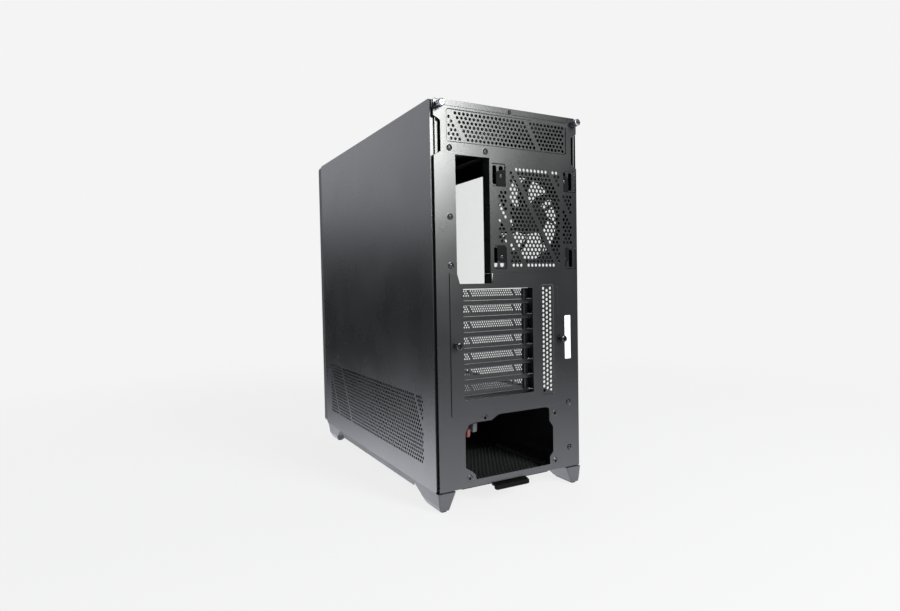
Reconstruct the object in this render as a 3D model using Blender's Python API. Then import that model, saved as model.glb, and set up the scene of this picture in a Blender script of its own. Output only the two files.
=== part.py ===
"""Desktop computer tower: an empty mid-tower case, ready for its electronics.

Metres, +Z up. The front looks along -Y and the rear along +Y. The steel side panel is at +X and the
glass one at -X. The origin is on the floor, under the middle of the case.
"""

from math import cos, pi, radians, sin

import bmesh
import bpy
from mathutils import Matrix, Vector

# ------------------------------------------------------------------ driving dimensions
WIDTH = 0.230
HEIGHT = 0.514
REAR = 0.232            # the rear face
FRONT = -0.244          # the front cover's face
SHEET = 0.001           # steel sheet
GAP = 0.0003            # clearance between pieces that touch

SIDE = WIDTH / 2        # outer face of both side panels
PANEL_FOLD = 0.1095     # how far in the side panels' folded edges reach
PANEL_FRONT = -0.2287
PANEL_REAR = 0.2273
PANEL_FOOT = 0.0244     # lower edge of both side panels
REAR_HALF = 0.1124      # half width of the rear panel
FRAME_HALF = 0.1077     # half width of the frame between the side panels

FLOOR = 0.026           # underside of the floor pan, and the rear panel's lower edge
SHROUD_TOP = 0.120      # top of the power supply shroud
ROOF = 0.501            # top of the inner roof
SEAM = 0.5065           # top edge of the rear panel, where the top cover's lip starts
FRAME_FRONT = -0.215    # inner face of the front frame

SLOT_PITCH = 0.02032    # expansion slots
SLOTS = 7
SLOT_TOP = 0.2787       # top of the first slot cover
COVER_HEIGHT = 0.0138
TRAY_X = 0.088          # the motherboard side of the tray

FAN = 0.120
FAN_DEPTH = 0.025
FAN_STAND_OFF = 0.0020  # rubber corners hold the front fans off the frame
BLADES = 7
REAR_FAN = (-0.0388, 0.3738)
FRONT_FAN_X = -0.010
FRONT_FANS = (0.1900, 0.3103, 0.4306)

CORNER_SCREW = (0.1060, 0.5060)
BRACKET_SCREWS = ((0.0860, 0.2085), (-0.0800, 0.2085))
SCREW_HEAD = 0.0048
SCREW_SHANK = 0.0015
SCREW_NECK = 0.0036                               # the collar under a thumb screw's head
FAN_HOLES = 0.0525                                # a fan's screw holes, from its centre

# ------------------------------------------------------------------ scene and materials
for old in list(bpy.data.objects):
    bpy.data.objects.remove(old, do_unlink=True)


def material(name, colour, roughness, metallic):
    """A plain Principled material."""
    made = bpy.data.materials.new(name)
    made.use_nodes = True
    shader = made.node_tree.nodes["Principled BSDF"]
    shader.inputs["Base Color"].default_value = (*colour, 1.0)
    shader.inputs["Roughness"].default_value = roughness
    shader.inputs["Metallic"].default_value = metallic
    return made


COATED = material("coated_steel", (0.040, 0.042, 0.046), 0.42, 0.3)
MESHED = material("perforated_steel", (0.030, 0.031, 0.034), 0.50, 0.3)
PLASTIC = material("black_plastic", (0.020, 0.020, 0.022), 0.50, 0.0)
FOOT_GREY = material("grey_plastic", (0.085, 0.085, 0.090), 0.45, 0.0)
RUBBER = material("rubber", (0.015, 0.015, 0.015), 0.80, 0.0)
SCREW = material("screw_steel", (0.45, 0.45, 0.47), 0.25, 1.0)
GLASS = material("tinted_glass", (0.70, 0.78, 0.74), 0.05, 0.0)
NYLON = material("nylon_mesh", (0.030, 0.030, 0.032), 0.70, 0.0)
BOARD = material("circuit_board", (0.010, 0.060, 0.030), 0.45, 0.0)
RED_CABLE = material("red_cable", (0.300, 0.080, 0.050), 0.55, 0.0)
GREY_CABLE = material("grey_cable", (0.150, 0.150, 0.160), 0.55, 0.0)

# ------------------------------------------------------------------ modelling helpers


def place(name, mesh, finish, origin, parent=None):
    """Makes an object of a mesh drawn in world positions, with its own origin."""
    mesh.transform(Matrix.Translation(-Vector(origin)))
    mesh.materials.clear()
    mesh.materials.append(finish)
    made = bpy.data.objects.new(name, mesh)
    bpy.context.scene.collection.objects.link(made)
    made.location = origin
    if parent is not None:
        made.parent = parent
        made.location = Vector(origin) - parent.location
    return made


def prism(outline, axis, start, end):
    """A solid that runs along one axis. The outline's points are in the other two, in x, y, z order."""
    bm = bmesh.new()
    order = {"x": (2, 0, 1), "y": (0, 2, 1), "z": (0, 1, 2)}[axis]

    def corner(point, along):
        values = (point[0], point[1], along)
        return bm.verts.new([values[i] for i in order])

    low = [corner(point, start) for point in outline]
    high = [corner(point, end) for point in outline]
    bm.faces.new(low)
    bm.faces.new(reversed(high))
    for i in range(len(outline)):
        j = (i + 1) % len(outline)
        bm.faces.new((low[j], low[i], high[i], high[j]))
    bmesh.ops.recalc_face_normals(bm, faces=bm.faces)
    mesh = bpy.data.meshes.new("prism")
    bm.to_mesh(mesh)
    bm.free()
    return mesh


def rectangle(a0, b0, a1, b1):
    """Four corners of a rectangle."""
    return [(a0, b0), (a1, b0), (a1, b1), (a0, b1)]


def block(low, high):
    """A box between two corners."""
    return prism(rectangle(low[0], low[1], high[0], high[1]), "z", low[2], high[2])


def circle(a, b, radius, count):
    """A regular polygon around a point."""
    angles = [2 * pi * i / count for i in range(count)]
    return [(a + radius * cos(angle), b + radius * sin(angle)) for angle in angles]


def rounded(a0, b0, a1, b1, radius, steps=3):
    """A rectangle with round corners."""
    left, right, low, high = a0 + radius, a1 - radius, b0 + radius, b1 - radius
    centres = [(right, high), (left, high), (left, low), (right, low)]
    points = []
    for quarter, (a, b) in enumerate(centres):
        for step in range(steps + 1):
            angle = pi / 2 * (quarter + step / steps)
            points.append((a + radius * cos(angle), b + radius * sin(angle)))
    return points


def combine(base, others, operation):
    """Joins meshes to a mesh, or cuts them out of it, one after another."""
    body = bpy.data.objects.new("body", base)
    bpy.context.scene.collection.objects.link(body)
    helpers = []
    for other in others:
        helper = bpy.data.objects.new("helper", other)
        bpy.context.scene.collection.objects.link(helper)
        step = body.modifiers.new("step", "BOOLEAN")
        step.operation = operation
        step.object = helper
        helpers.append(helper)
    bpy.context.view_layer.update()
    solid = bpy.data.meshes.new_from_object(body.evaluated_get(bpy.context.evaluated_depsgraph_get()))
    for helper in [body, *helpers]:
        bpy.data.objects.remove(helper, do_unlink=True)
    return solid


def join(base, *others):
    return combine(base, others, "UNION")


def cut(base, *others):
    return combine(base, others, "DIFFERENCE")


def smooth(made, angle=35):
    """Shades a round piece smooth, with its real edges sharp."""
    made.data.shade_smooth()
    made.data.set_sharp_from_angle(angle=radians(angle))
    return made


def turned(profile, axis_point, count):
    """A solid turned about a line along Y, from a profile of (radius, y)."""
    bm = bmesh.new()
    x, z = axis_point
    rings = []
    for radius, y in profile:
        ring = [bm.verts.new((a, y, b)) for a, b in circle(x, z, radius, count)]
        rings.append(ring)
    for first, second in zip(rings, rings[1:]):
        for i in range(count):
            j = (i + 1) % count
            bm.faces.new((first[i], first[j], second[j], second[i]))
    bm.faces.new(rings[0])
    bm.faces.new(rings[-1])
    bmesh.ops.recalc_face_normals(bm, faces=bm.faces)
    mesh = bpy.data.meshes.new("turned")
    bm.to_mesh(mesh)
    bm.free()
    return mesh


# ------------------------------------------------------------------ openings of the rear
IO_LEFT, IO_RIGHT = 0.0325, 0.0825
IO_LOW, IO_TOP = 0.2865, 0.4475
IO_FOLD = 0.0160                                  # how deep the port opening's edge folds in
FLANGE_X = 0.1085                                 # the rear panel's side flanges
WINDOW = (-0.0340, 0.1380, 0.0760, 0.2810)       # expansion slots: x, z, x, z
STRIP = (-0.0670, 0.1330, -0.0470, 0.2830)       # vertical vent
BRACKET = (-0.0860, 0.1173, 0.0940, 0.3000)
NOTCH_IN, NOTCH_LOW, NOTCH_TOP = 0.1030, 0.4420, 0.4955
NOTCH_SLOPE = 0.55                               # how steeply the notches' ends slant
EAR_IN = 0.0970                                  # the rear panel's corner ears
REAR_SPLIT = 0.2985                              # where the rear panel's two halves meet, behind the bracket


def supply_opening():
    """The power supply's opening: room for its face, with bosses left in for its four screws."""
    left, right, low, top = 0.0745, -0.0662, 0.0350, 0.1150
    return [
        (left, 0.0520), (left, 0.0970), (0.0690, 0.1065), (0.0590, 0.1085), (0.0345, 0.1085),
        (0.0275, 0.1130), (0.0225, top), (-0.0540, top), (-0.0595, 0.1130), (-0.0600, 0.0955),
        (right, 0.0870), (right, 0.0525), (-0.0605, 0.0460), (-0.0605, low), (0.0590, low),
        (0.0600, 0.0410), (0.0645, 0.0455),
    ]


def edge_notch(side):
    """The finger notch beside a side panel's rear edge: its sides slant, and it runs on past the edge."""
    past = 0.005
    slant = NOTCH_SLOPE * (REAR_HALF + past - NOTCH_IN)
    outer = side * (REAR_HALF + past)
    inner = side * NOTCH_IN
    return [(inner, NOTCH_LOW + slant), (inner, NOTCH_TOP - slant), (outer, NOTCH_TOP), (outer, NOTCH_LOW)]


# ------------------------------------------------------------------ frame


def screw_hole(x, z):
    """The clearance hole of a thumb screw's shank."""
    return circle(x, z, SCREW_SHANK + 0.0007, 12)


def rear_panel():
    """The rear wall, in two halves: a plate with folded flanges, and every opening in it."""
    inner = REAR - SHEET
    flange = 0.0106
    plate = prism(rectangle(-REAR_HALF, FLOOR, REAR_HALF, HEIGHT - SHEET - GAP), "y", inner, REAR)
    flange_low = FLOOR + SHEET + 2 * GAP
    flange_top = ROOF - SHEET - GAP
    flanges = []
    for x in (FLANGE_X, -FLANGE_X):
        low = (x - SHEET / 2, inner - flange, flange_low)
        flanges.append(block(low, (x + SHEET / 2, inner + SHEET / 2, flange_top)))
    port_fold = block((IO_LEFT - SHEET, REAR - IO_FOLD, 0.2990), (IO_LEFT, inner + SHEET / 2, IO_TOP))
    body = join(plate, port_fold, *flanges)
    deep = REAR - 0.020
    out = REAR + 0.005
    openings = [
        prism(rectangle(-EAR_IN, SEAM, EAR_IN, HEIGHT + 0.01), "y", deep, out),
        prism(rectangle(IO_LEFT, 0.2990, IO_RIGHT, IO_TOP), "y", deep, out),
        prism(rectangle(WINDOW[0] - 0.0015, WINDOW[1] - 0.0015, IO_RIGHT, 0.2995), "y", deep, out),
        prism(rectangle(*STRIP), "y", deep, out),
        prism(supply_opening(), "y", deep, out),
        prism(edge_notch(1), "y", deep, out),
        prism(edge_notch(-1), "y", deep, out),
    ]
    for side in (1, -1):
        openings.append(prism(screw_hole(side * CORNER_SCREW[0], CORNER_SCREW[1]), "y", deep, out))
    for x, z in BRACKET_SCREWS:
        openings.append(prism(screw_hole(x, z), "y", deep, out))
    whole = cut(body, *openings)
    above = block((-WIDTH, deep, REAR_SPLIT - GAP / 2), (WIDTH, out, HEIGHT))
    below = block((-WIDTH, deep, 0), (WIDTH, out, REAR_SPLIT + GAP / 2))
    place("rear_panel_lower", cut(whole.copy(), above), COATED, (0, REAR, FLOOR))
    place("rear_panel_upper", cut(whole, below), COATED, (0, REAR, REAR_SPLIT))


def top_frame():
    """The inner roof: a tray with raised sides and a long opening for fans or a radiator."""
    under = ROOF - SHEET
    rim = HEIGHT - 0.0035
    outline = [
        (-FRAME_HALF, under), (FRAME_HALF, under), (FRAME_HALF, rim), (FRAME_HALF - SHEET, rim),
        (FRAME_HALF - SHEET, ROOF), (-FRAME_HALF + SHEET, ROOF),
        (-FRAME_HALF + SHEET, rim), (-FRAME_HALF, rim),
    ]
    tray = prism(outline, "y", PANEL_FRONT + GAP, REAR - SHEET - 2 * GAP)
    opening = prism(rounded(-0.0850, -0.1650, 0.0550, 0.1650, 0.006), "z", under - 0.01, ROOF + 0.003)
    ear_room = []
    for x in (0.1050, -0.1050):
        ear_room.append(block((x - 0.0070, 0.2255, ROOF + GAP), (x + 0.0070, REAR, HEIGHT)))
    cable_hole = block((0.0925, -0.1960, under - 0.01), (0.1045, -0.1760, ROOF + 0.003))
    return place("top_frame", cut(tray, opening, cable_hole, *ear_room), COATED, (0, 0, ROOF))


def floor_pan():
    """The floor, with skirts between the feet, the power supply's intake and the dust filter's rails."""
    half = 0.109
    top = FLOOR + SHEET
    plate = block((-half, PANEL_FRONT + GAP, FLOOR), (half, REAR - SHEET - 2 * GAP, top))
    skirts = []
    for left in (half - SHEET, -half):
        skirts.append(block((left, -0.150, 0.0115), (left + SHEET, 0.1475, FLOOR + SHEET / 2)))
    rails = []
    for side in (1, -1):
        foot_in, foot_out, foot_z = 0.0735, 0.0785, 0.0185
        rail = [(foot_in, foot_z), (foot_out, foot_z), (foot_out, FLOOR + SHEET / 2),
                (foot_out - SHEET, FLOOR + SHEET / 2), (foot_out - SHEET, foot_z + SHEET),
                (foot_in, foot_z + SHEET)]
        outline = [(side * a, b) for a, b in rail]
        rails.append(prism(outline, "y", 0.0850, 0.2290))
    intake = prism(rounded(-0.0600, 0.0950, 0.0600, 0.2050, 0.006), "z", 0.010, 0.040)
    return place("floor_pan", cut(join(plate, *skirts, *rails), intake), COATED, (0, 0, FLOOR))


def front_frame():
    """The front wall, with one tall opening for the three fans and flanges out to the front cover."""
    low = FLOOR + SHEET + GAP
    top = ROOF - SHEET - GAP
    reach = PANEL_FRONT + GAP
    outline = [
        (-FRAME_HALF, reach), (-FRAME_HALF + SHEET, reach), (-FRAME_HALF + SHEET, FRAME_FRONT - SHEET),
        (FRAME_HALF - SHEET, FRAME_FRONT - SHEET), (FRAME_HALF - SHEET, reach), (FRAME_HALF, reach),
        (FRAME_HALF, FRAME_FRONT), (-FRAME_HALF, FRAME_FRONT),
    ]
    wall = prism(outline, "z", low, top)
    outline = rounded(FRONT_FAN_X - 0.057, 0.1330, FRONT_FAN_X + 0.057, 0.4870, 0.012)
    opening = prism(outline, "y", -0.240, -0.200)
    lower = prism(rounded(-0.0900, 0.0420, 0.0900, 0.1000, 0.006), "y", -0.240, -0.200)
    return place("front_frame", cut(wall, opening, lower), COATED, (0, FRAME_FRONT, low))


def motherboard_tray():
    """The wall that the motherboard stands on, with the processor cut-out and three cable slots."""
    low = SHROUD_TOP + GAP
    top = ROOF - SHEET - GAP
    wall = prism([(TRAY_X, -0.130), (TRAY_X, REAR - SHEET - GAP), (TRAY_X + SHEET, REAR - SHEET - GAP),
                  (TRAY_X + SHEET, -0.129), (TRAY_X + 0.005, -0.129), (TRAY_X + 0.005, -0.130)], "z", low, top)
    openings = [prism(rounded(0.0600, 0.3050, 0.1950, 0.4450, 0.008), "x", TRAY_X - 0.01, TRAY_X + 0.01)]
    for z in (0.160, 0.270, 0.380):
        slot = rounded(-0.1150, z, -0.0850, z + 0.080, 0.008)
        openings.append(prism(slot, "x", TRAY_X - 0.01, TRAY_X + 0.01))
    return place("motherboard_tray", cut(wall, *openings), COATED, (TRAY_X, 0, low))


def psu_shroud():
    """The cover over the power supply bay: a top with a wall down the glass side."""
    low = FLOOR + SHEET + GAP
    left = -0.1077
    outline = [
        (left, low), (left + SHEET, low), (left + SHEET, SHROUD_TOP - SHEET), (FRAME_HALF, SHROUD_TOP - SHEET),
        (FRAME_HALF, SHROUD_TOP), (left, SHROUD_TOP),
    ]
    cover = prism(outline, "y", FRAME_FRONT + GAP, REAR - SHEET - GAP)
    cable_slot = prism(rounded(0.0920, 0.0600, 0.1040, 0.1400, 0.004), "z", 0.100, 0.140)
    front_slot = prism(rounded(0.0400, -0.1500, 0.0750, -0.1150, 0.006), "z", 0.100, 0.140)
    return place("psu_shroud", cut(cover, cable_slot, front_slot), COATED, (0, 0, SHROUD_TOP))


# ------------------------------------------------------------------ panels and covers


def panel_ear(side):
    """The tab that a corner thumb screw clamps, open inwards so that the panel pulls off."""
    x, z = CORNER_SCREW
    slot = 0.0022
    points = [
        (0.1015, z - 0.0042), (0.1135, z - 0.0042), (0.1135, z + 0.0050), (0.1015, z + 0.0050),
        (0.1015, z + slot), (x + slot, z + slot), (x + slot, z - slot), (0.1015, z - slot),
    ]
    return prism([(side * a, b) for a, b in points], "y", PANEL_REAR - SHEET, 0.2302)


def steel_panel():
    """The steel side panel: a shallow pan whose rim folds in, with an ear for its thumb screw."""
    outline = rounded(PANEL_FRONT, PANEL_FOOT, PANEL_REAR, HEIGHT, 0.004)
    pan = prism(outline, "x", PANEL_FOLD, SIDE)
    inside = rounded(PANEL_FRONT + SHEET, PANEL_FOOT + SHEET, PANEL_REAR - SHEET, HEIGHT - SHEET, 0.003)
    hollow = prism(inside, "x", PANEL_FOLD - 0.01, SIDE - SHEET)
    return place("side_panel_steel", join(cut(pan, hollow), panel_ear(1)), COATED, (SIDE, 0, PANEL_FOOT))


def glass_side():
    """The glass side panel: a pane on a steel frame, with the same ear."""
    pane = prism(rounded(PANEL_FRONT, PANEL_FOOT, PANEL_REAR, HEIGHT, 0.004), "x", -SIDE, -0.1121)
    frame = prism(rounded(PANEL_FRONT, PANEL_FOOT, PANEL_REAR, HEIGHT, 0.004), "x", -0.1118, -0.1098)
    edge = 0.018
    inside = rounded(PANEL_FRONT + edge, 0.0480, PANEL_REAR - edge, HEIGHT - 0.020, 0.008)
    window = prism(inside, "x", -0.130, -0.100)
    ear = panel_ear(-1)
    ear_trim = block((-0.120, 0.200, 0.480), (-0.1118, 0.240, 0.520))
    steel = join(cut(frame, window), cut(ear, ear_trim))
    frame_made = place("glass_frame", steel, COATED, (-0.1098, 0, PANEL_FOOT))
    place("glass_pane", pane, GLASS, (-SIDE, 0, PANEL_FOOT), frame_made)
    return frame_made


IO_BAY = (-0.0620, -0.2260, 0.0620, -0.2070)      # cut-out of the top cover for the front ports


def top_cover():
    """The lid: a plate with sides, a lip over the rear panel's edge, and room for the ports."""
    half = 0.1092
    under = HEIGHT - SHEET
    outline = [
        (-half, HEIGHT - 0.008), (-half + SHEET, HEIGHT - 0.008),
        (-half + SHEET, under), (half - SHEET, under),
        (half - SHEET, HEIGHT - 0.008), (half, HEIGHT - 0.008), (half, HEIGHT), (-half, HEIGHT),
    ]
    lid = prism(outline, "y", PANEL_FRONT, REAR)
    corner_room = []
    for x in (CORNER_SCREW[0], -CORNER_SCREW[0]):
        corner_room.append(block((x - 0.0088, 0.2255, 0.490), (x + 0.0088, 0.240, under)))
    lip = block((-EAR_IN + GAP, REAR - SHEET, SEAM + GAP), (EAR_IN - GAP, REAR, HEIGHT - SHEET / 2))
    bay = block((IO_BAY[0], IO_BAY[1], 0.500), (IO_BAY[2], IO_BAY[3], 0.520))
    lid = join(cut(lid, bay, *corner_room), lip)
    screw_hole = prism(circle(0, 0.5098, 0.0017, 10), "y", REAR - 0.010, REAR + 0.010)
    made = place("top_cover", cut(lid, screw_hole), MESHED, (0, 0, HEIGHT))
    ring = cut(block((-0.0950, -0.1950, HEIGHT - 0.0027), (0.0950, 0.2150, HEIGHT - SHEET - GAP)),
               block((-0.0890, -0.1890, 0.500), (0.0890, 0.2090, 0.520)))
    web = block((-0.0920, -0.1920, HEIGHT - 0.0023), (0.0920, 0.2120, HEIGHT - 0.0018))
    place("top_filter", join(ring, web), NYLON, (0, 0, HEIGHT - 0.0027), made)
    shank, head = 0.0013, 0.0027
    profile = [(shank, REAR - 0.005), (shank, REAR + GAP), (head, REAR + GAP), (0.0022, REAR + 0.0015)]
    screw = turned(profile, (0, 0.5098), 12)
    smooth(place("top_cover_screw", screw, SCREW, (0, REAR, 0.5098), made))
    return made


def inset_outline(inset, radius):
    """The front's outline, drawn in from every side, with rounded corners."""
    return rounded(-SIDE + inset, FLOOR + inset, SIDE - inset, HEIGHT - inset, radius)


def front_cover():
    """The front: a plastic surround, a perforated steel grille in it and a dust filter behind the grille."""
    back = PANEL_FRONT - GAP
    edge = 0.012
    ring = cut(prism(rounded(-SIDE, FLOOR, SIDE, HEIGHT, 0.005), "y", FRONT, back),
               prism(inset_outline(edge, 0.004), "y", FRONT - 0.01, back + 0.01))
    step = 0.003
    rebate = prism(inset_outline(edge - step, 0.005), "y", FRONT + 0.002, back + 0.01)
    made = place("front_cover", cut(ring, rebate), PLASTIC, (0, back, FLOOR))
    inset = edge - step + GAP
    grille_face = FRONT + 0.002 + GAP
    grille = prism(inset_outline(inset, 0.005), "y", grille_face, grille_face + SHEET)
    place("front_grille", grille, MESHED, (0, FRONT, FLOOR), made)
    holder = prism(inset_outline(inset, 0.005), "y", FRONT + 0.0036, FRONT + 0.0066)
    relief = prism(inset_outline(inset + 0.006, 0.003), "y", FRONT + 0.0044, FRONT + 0.020)
    place("front_filter", cut(holder, relief), NYLON, (0, FRONT, FLOOR), made)
    return made


# ------------------------------------------------------------------ feet


def foot(name, side, top_y, base_y):
    """A foot: a block that narrows downwards, with a rubber pad under it."""
    bm = bmesh.new()
    height = PANEL_FOOT - GAP
    pad = 0.002
    middle_y = (base_y[0] - 0.008, base_y[1])
    levels = (
        (pad + GAP, base_y, (0.0990, 0.1115)),
        (0.0075, middle_y, (0.0965, 0.1130)),
        (height, top_y, (0.0895, 0.1145)),
    )
    rings = []
    for z, (y0, y1), (x0, x1) in levels:
        rings.append([bm.verts.new((side * x, y, z)) for x, y in ((x0, y0), (x1, y0), (x1, y1), (x0, y1))])
    bm.faces.new(rings[0])
    bm.faces.new(rings[-1])
    for lower, upper in zip(rings, rings[1:]):
        for i in range(4):
            j = (i + 1) % 4
            bm.faces.new((lower[i], lower[j], upper[j], upper[i]))
    bmesh.ops.recalc_face_normals(bm, faces=bm.faces)
    edges = [e for e in bm.edges if abs(e.verts[0].co.z - e.verts[1].co.z) > 0.004]
    bmesh.ops.bevel(bm, geom=edges, offset=0.0015, segments=2, profile=0.5, affect="EDGES")
    mesh = bpy.data.meshes.new(name)
    bm.to_mesh(mesh)
    bm.free()
    x0, x1 = sorted((side * 0.0910, side * 0.1078))
    seat = block((x0, top_y[0] + 0.003, height - 0.002), (x1, top_y[1] - 0.003, FLOOR - GAP))
    made = place(name, join(mesh, seat), FOOT_GREY, (side * 0.102, sum(top_y) / 2, FLOOR))
    inset = 0.0025
    low, high = sorted((side * (0.0990 + inset), side * (0.1115 - inset)))
    sole = prism(rounded(low, base_y[0] + inset, high, base_y[1] - inset, 0.002), "z", 0, pad)
    place(name + "_pad", sole, RUBBER, (side * 0.105, sum(base_y) / 2, 0), made)


# ------------------------------------------------------------------ fans


def fan_frame(name, centre, y0):
    """A square fan frame: a duct, a hub plate on four arms at its outlet, and screw holes."""
    x, z = centre
    half = FAN / 2
    y1 = y0 + FAN_DEPTH
    body = prism(rounded(x - half, z - half, x + half, z + half, 0.006, 2), "y", y0, y1)
    duct = prism(circle(x, z, 0.0575, 28), "y", y0 - 0.01, y1 + 0.01)
    waist = 0.0045
    pockets = []
    for i in (-1, 1):
        for k in (-1, 1):
            cx, cz = x + i * half, z + k * half
            inner = 0.0185
            out_x, out_z = cx + i * 0.002, cz + k * 0.002
            points = [(cx - i * inner, out_z), (out_x, out_z), (out_x, cz - k * inner)]
            pockets.append(prism(points, "y", y0 + waist, y1 - waist))
            hole = circle(x + i * FAN_HOLES, z + k * FAN_HOLES, 0.0022, 8)
            pockets.append(prism(hole, "y", y0 - 0.01, y1 + 0.01))
    body = cut(body, duct, *pockets)
    plate = 0.0025
    hub = prism(circle(x, z, 0.0200, 20), "y", y1 - plate, y1)
    arms = []
    for i in range(4):
        angle = pi / 4 + i * pi / 2 + 0.25
        along = Vector((cos(angle), sin(angle)))
        across = Vector((-sin(angle), cos(angle))) * 0.002
        start = Vector((x, z)) + along * 0.017
        stop = Vector((x, z)) + along * 0.0590
        arm = [start - across, stop - across, stop + across, start + across]
        arms.append(prism(arm, "y", y1 - plate - 0.0002, y1 - 0.0002))
    return smooth(place(name, join(body, hub, *arms), PLASTIC, (x, y0, z)))


def rotor_mesh():
    """The fan wheel about the local Y axis: a cup with swept, twisted blades."""
    hub_radius, tip = 0.0205, 0.0555
    profile = [(0.0175, 0.0012), (hub_radius, 0.0025), (hub_radius, 0.0195), (hub_radius - 0.003, 0.0215)]
    wheel = turned(profile, (0, 0), 24)
    blades = []
    for blade in range(BLADES):
        bm = bmesh.new()
        base = 2 * pi * blade / BLADES
        sections = []
        for step in range(5):
            t = step / 4
            radius = hub_radius - 0.003 + (tip - hub_radius + 0.003) * t
            sweep = base + 0.42 * t * t
            half_chord = (0.0105 + 0.0085 * t) / radius
            rise = 0.0072 - 0.0022 * t
            section = []
            for a, y in ((-1, -1), (0, 0), (1, 1)):
                angle = sweep + a * half_chord * 0.5
                for thick in (0.0006, -0.0006):
                    height = 0.0115 + y * rise + thick + 0.0012 * (1 - a * a)
                    section.append(bm.verts.new((radius * cos(angle), height, radius * sin(angle))))
            sections.append(section)
        loop = (0, 2, 4, 5, 3, 1)
        for first, second in zip(sections, sections[1:]):
            for i, j in zip(loop, loop[1:] + loop[:1]):
                bm.faces.new((first[i], first[j], second[j], second[i]))
        bm.faces.new([sections[0][i] for i in loop])
        bm.faces.new([sections[-1][i] for i in reversed(loop)])
        bmesh.ops.recalc_face_normals(bm, faces=bm.faces)
        mesh = bpy.data.meshes.new("blade")
        bm.to_mesh(mesh)
        bm.free()
        blades.append(mesh)
    return join(wheel, *blades)


def fan(name, centre, y0, wheel):
    """One fan: its frame, and its wheel on the fan's axis."""
    frame = fan_frame(name + "_frame", centre, y0)
    rotor = bpy.data.objects.new(name + "_rotor", wheel)
    bpy.context.scene.collection.objects.link(rotor)
    rotor.parent = frame
    return rotor


# ------------------------------------------------------------------ expansion slots


def slot_bracket():
    """The removable slot bracket: a raised plate, a recessed window with bars, and a vent."""
    y0, y1 = REAR + GAP, REAR + GAP + SHEET
    x0, z0, x1, z1 = BRACKET
    r = 0.003
    outline = [
        (x0 + r, z0), (x1 - r, z0), (x1, z0 + r), (x1, z1 - 0.001), (x1 - 0.001, z1), (IO_RIGHT + 0.001, z1),
        (IO_RIGHT - r, IO_LOW), (IO_LEFT - 0.001, IO_LOW), (IO_LEFT - r, z1), (x0 + 0.001, z1),
        (x0, z1 - 0.001), (x0, z0 + r),
    ]
    plate = prism(outline, "y", y0, y1)
    wx0, wz0, wx1, wz1 = WINDOW
    depth = REAR - 0.0100
    cup = block((wx0, depth, wz0), (wx1, y0 + SHEET / 2, wz1))
    room = block((wx0 + SHEET, depth - 0.01, wz0 + SHEET), (wx1 - SHEET, y1 + 0.01, wz1 - SHEET))
    body = cut(join(plate, cup), room)
    bar = SLOT_PITCH - COVER_HEIGHT - 2 * GAP
    bars = []
    for i in range(SLOTS - 1):
        middle = SLOT_TOP - COVER_HEIGHT - (SLOT_PITCH - COVER_HEIGHT) / 2 - i * SLOT_PITCH
        low = (wx0 + SHEET / 2, depth, middle - bar / 2)
        bars.append(block(low, (wx1 - SHEET / 2, depth + 0.0030, middle + bar / 2)))
    openings = [prism(screw_hole(x, z), "y", depth, REAR + 0.01) for x, z in BRACKET_SCREWS]
    return place("slot_bracket", cut(join(body, *bars), *openings), COATED, (0, REAR, BRACKET[1]))


def slot_cover(index, bracket):
    """A slot cover: a strip that steps out to a screw tab at its end."""
    top = SLOT_TOP - index * SLOT_PITCH
    low = top - COVER_HEIGHT
    x0, x1 = WINDOW[0] + SHEET + GAP, WINDOW[2] - SHEET - GAP
    back = REAR - 0.0090
    bend = x0 + 0.0100
    outline = [
        (x1, back), (x1, back + SHEET), (bend + SHEET, back + SHEET), (bend + SHEET, back + 0.0045),
        (x0, back + 0.0045), (x0, back + 0.0035), (bend, back + 0.0035), (bend, back),
    ]
    return place(f"slot_cover_{index + 1}", prism(outline, "z", low, top), MESHED, (0, back, low), bracket)


def thumb_screw(name, centre, y0, length, finish, parent=None):
    """A thumb screw: a shank, a collar and a round head to turn by hand."""
    profile = [
        (SCREW_SHANK, y0 - 0.0045), (SCREW_SHANK, y0), (SCREW_NECK, y0),
        (SCREW_NECK, y0 + 0.0022), (SCREW_HEAD, y0 + 0.0027),
        (SCREW_HEAD, y0 + length - 0.0008), (SCREW_HEAD - 0.0008, y0 + length),
    ]
    return smooth(place(name, turned(profile, centre, 20), finish, (centre[0], y0, centre[1]), parent))


# ------------------------------------------------------------------ dust filter under the power supply


def psu_filter():
    """A framed filter that slides in from the rear on rails, with a pull tab."""
    y0, y1 = 0.0880, 0.2350
    low, top = 0.0215, 0.0245
    middle = block((-0.0700, y0 + 0.007, 0), (0.0700, y1 - 0.007, 0.1))
    frame = cut(block((-0.0768, y0, low), (0.0768, y1, top)), middle)
    web = block((-0.0740, y0 + 0.003, 0.0228), (0.0740, y1 - 0.003, 0.0234))
    tab = prism(rounded(-0.0195, 0.0175, 0.0335, top - 0.0003, 0.002), "y", y1 - 0.001, y1 + 0.0035)
    return place("psu_filter", join(frame, web, tab), PLASTIC, (0.007, y1, low))


# ------------------------------------------------------------------ drives


def drive_cage():
    """The cage for two disk drives: a floor, two walls, and a ledge on each wall for the upper tray."""
    y0, y1 = -0.1510, -0.0370
    low, top = FLOOR + SHEET + GAP, 0.0980
    ledge = 0.0610
    left = [
        (y0 + SHEET, low + SHEET), (y0 + SHEET, ledge - SHEET),
        (y0 + 0.004, ledge - SHEET), (y0 + 0.004, ledge),
        (y0 + SHEET, ledge), (y0 + SHEET, top), (y0, top),
    ]
    middle = y0 + y1
    right = [(middle - y, z) for y, z in reversed(left)]
    outline = [(y0, low), *[(y, z) for y, z in reversed(left)], *reversed(right), (y1, low)]
    return place("drive_cage", prism(outline, "x", -0.0760, 0.0800), COATED, (0, y0, low))


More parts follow.
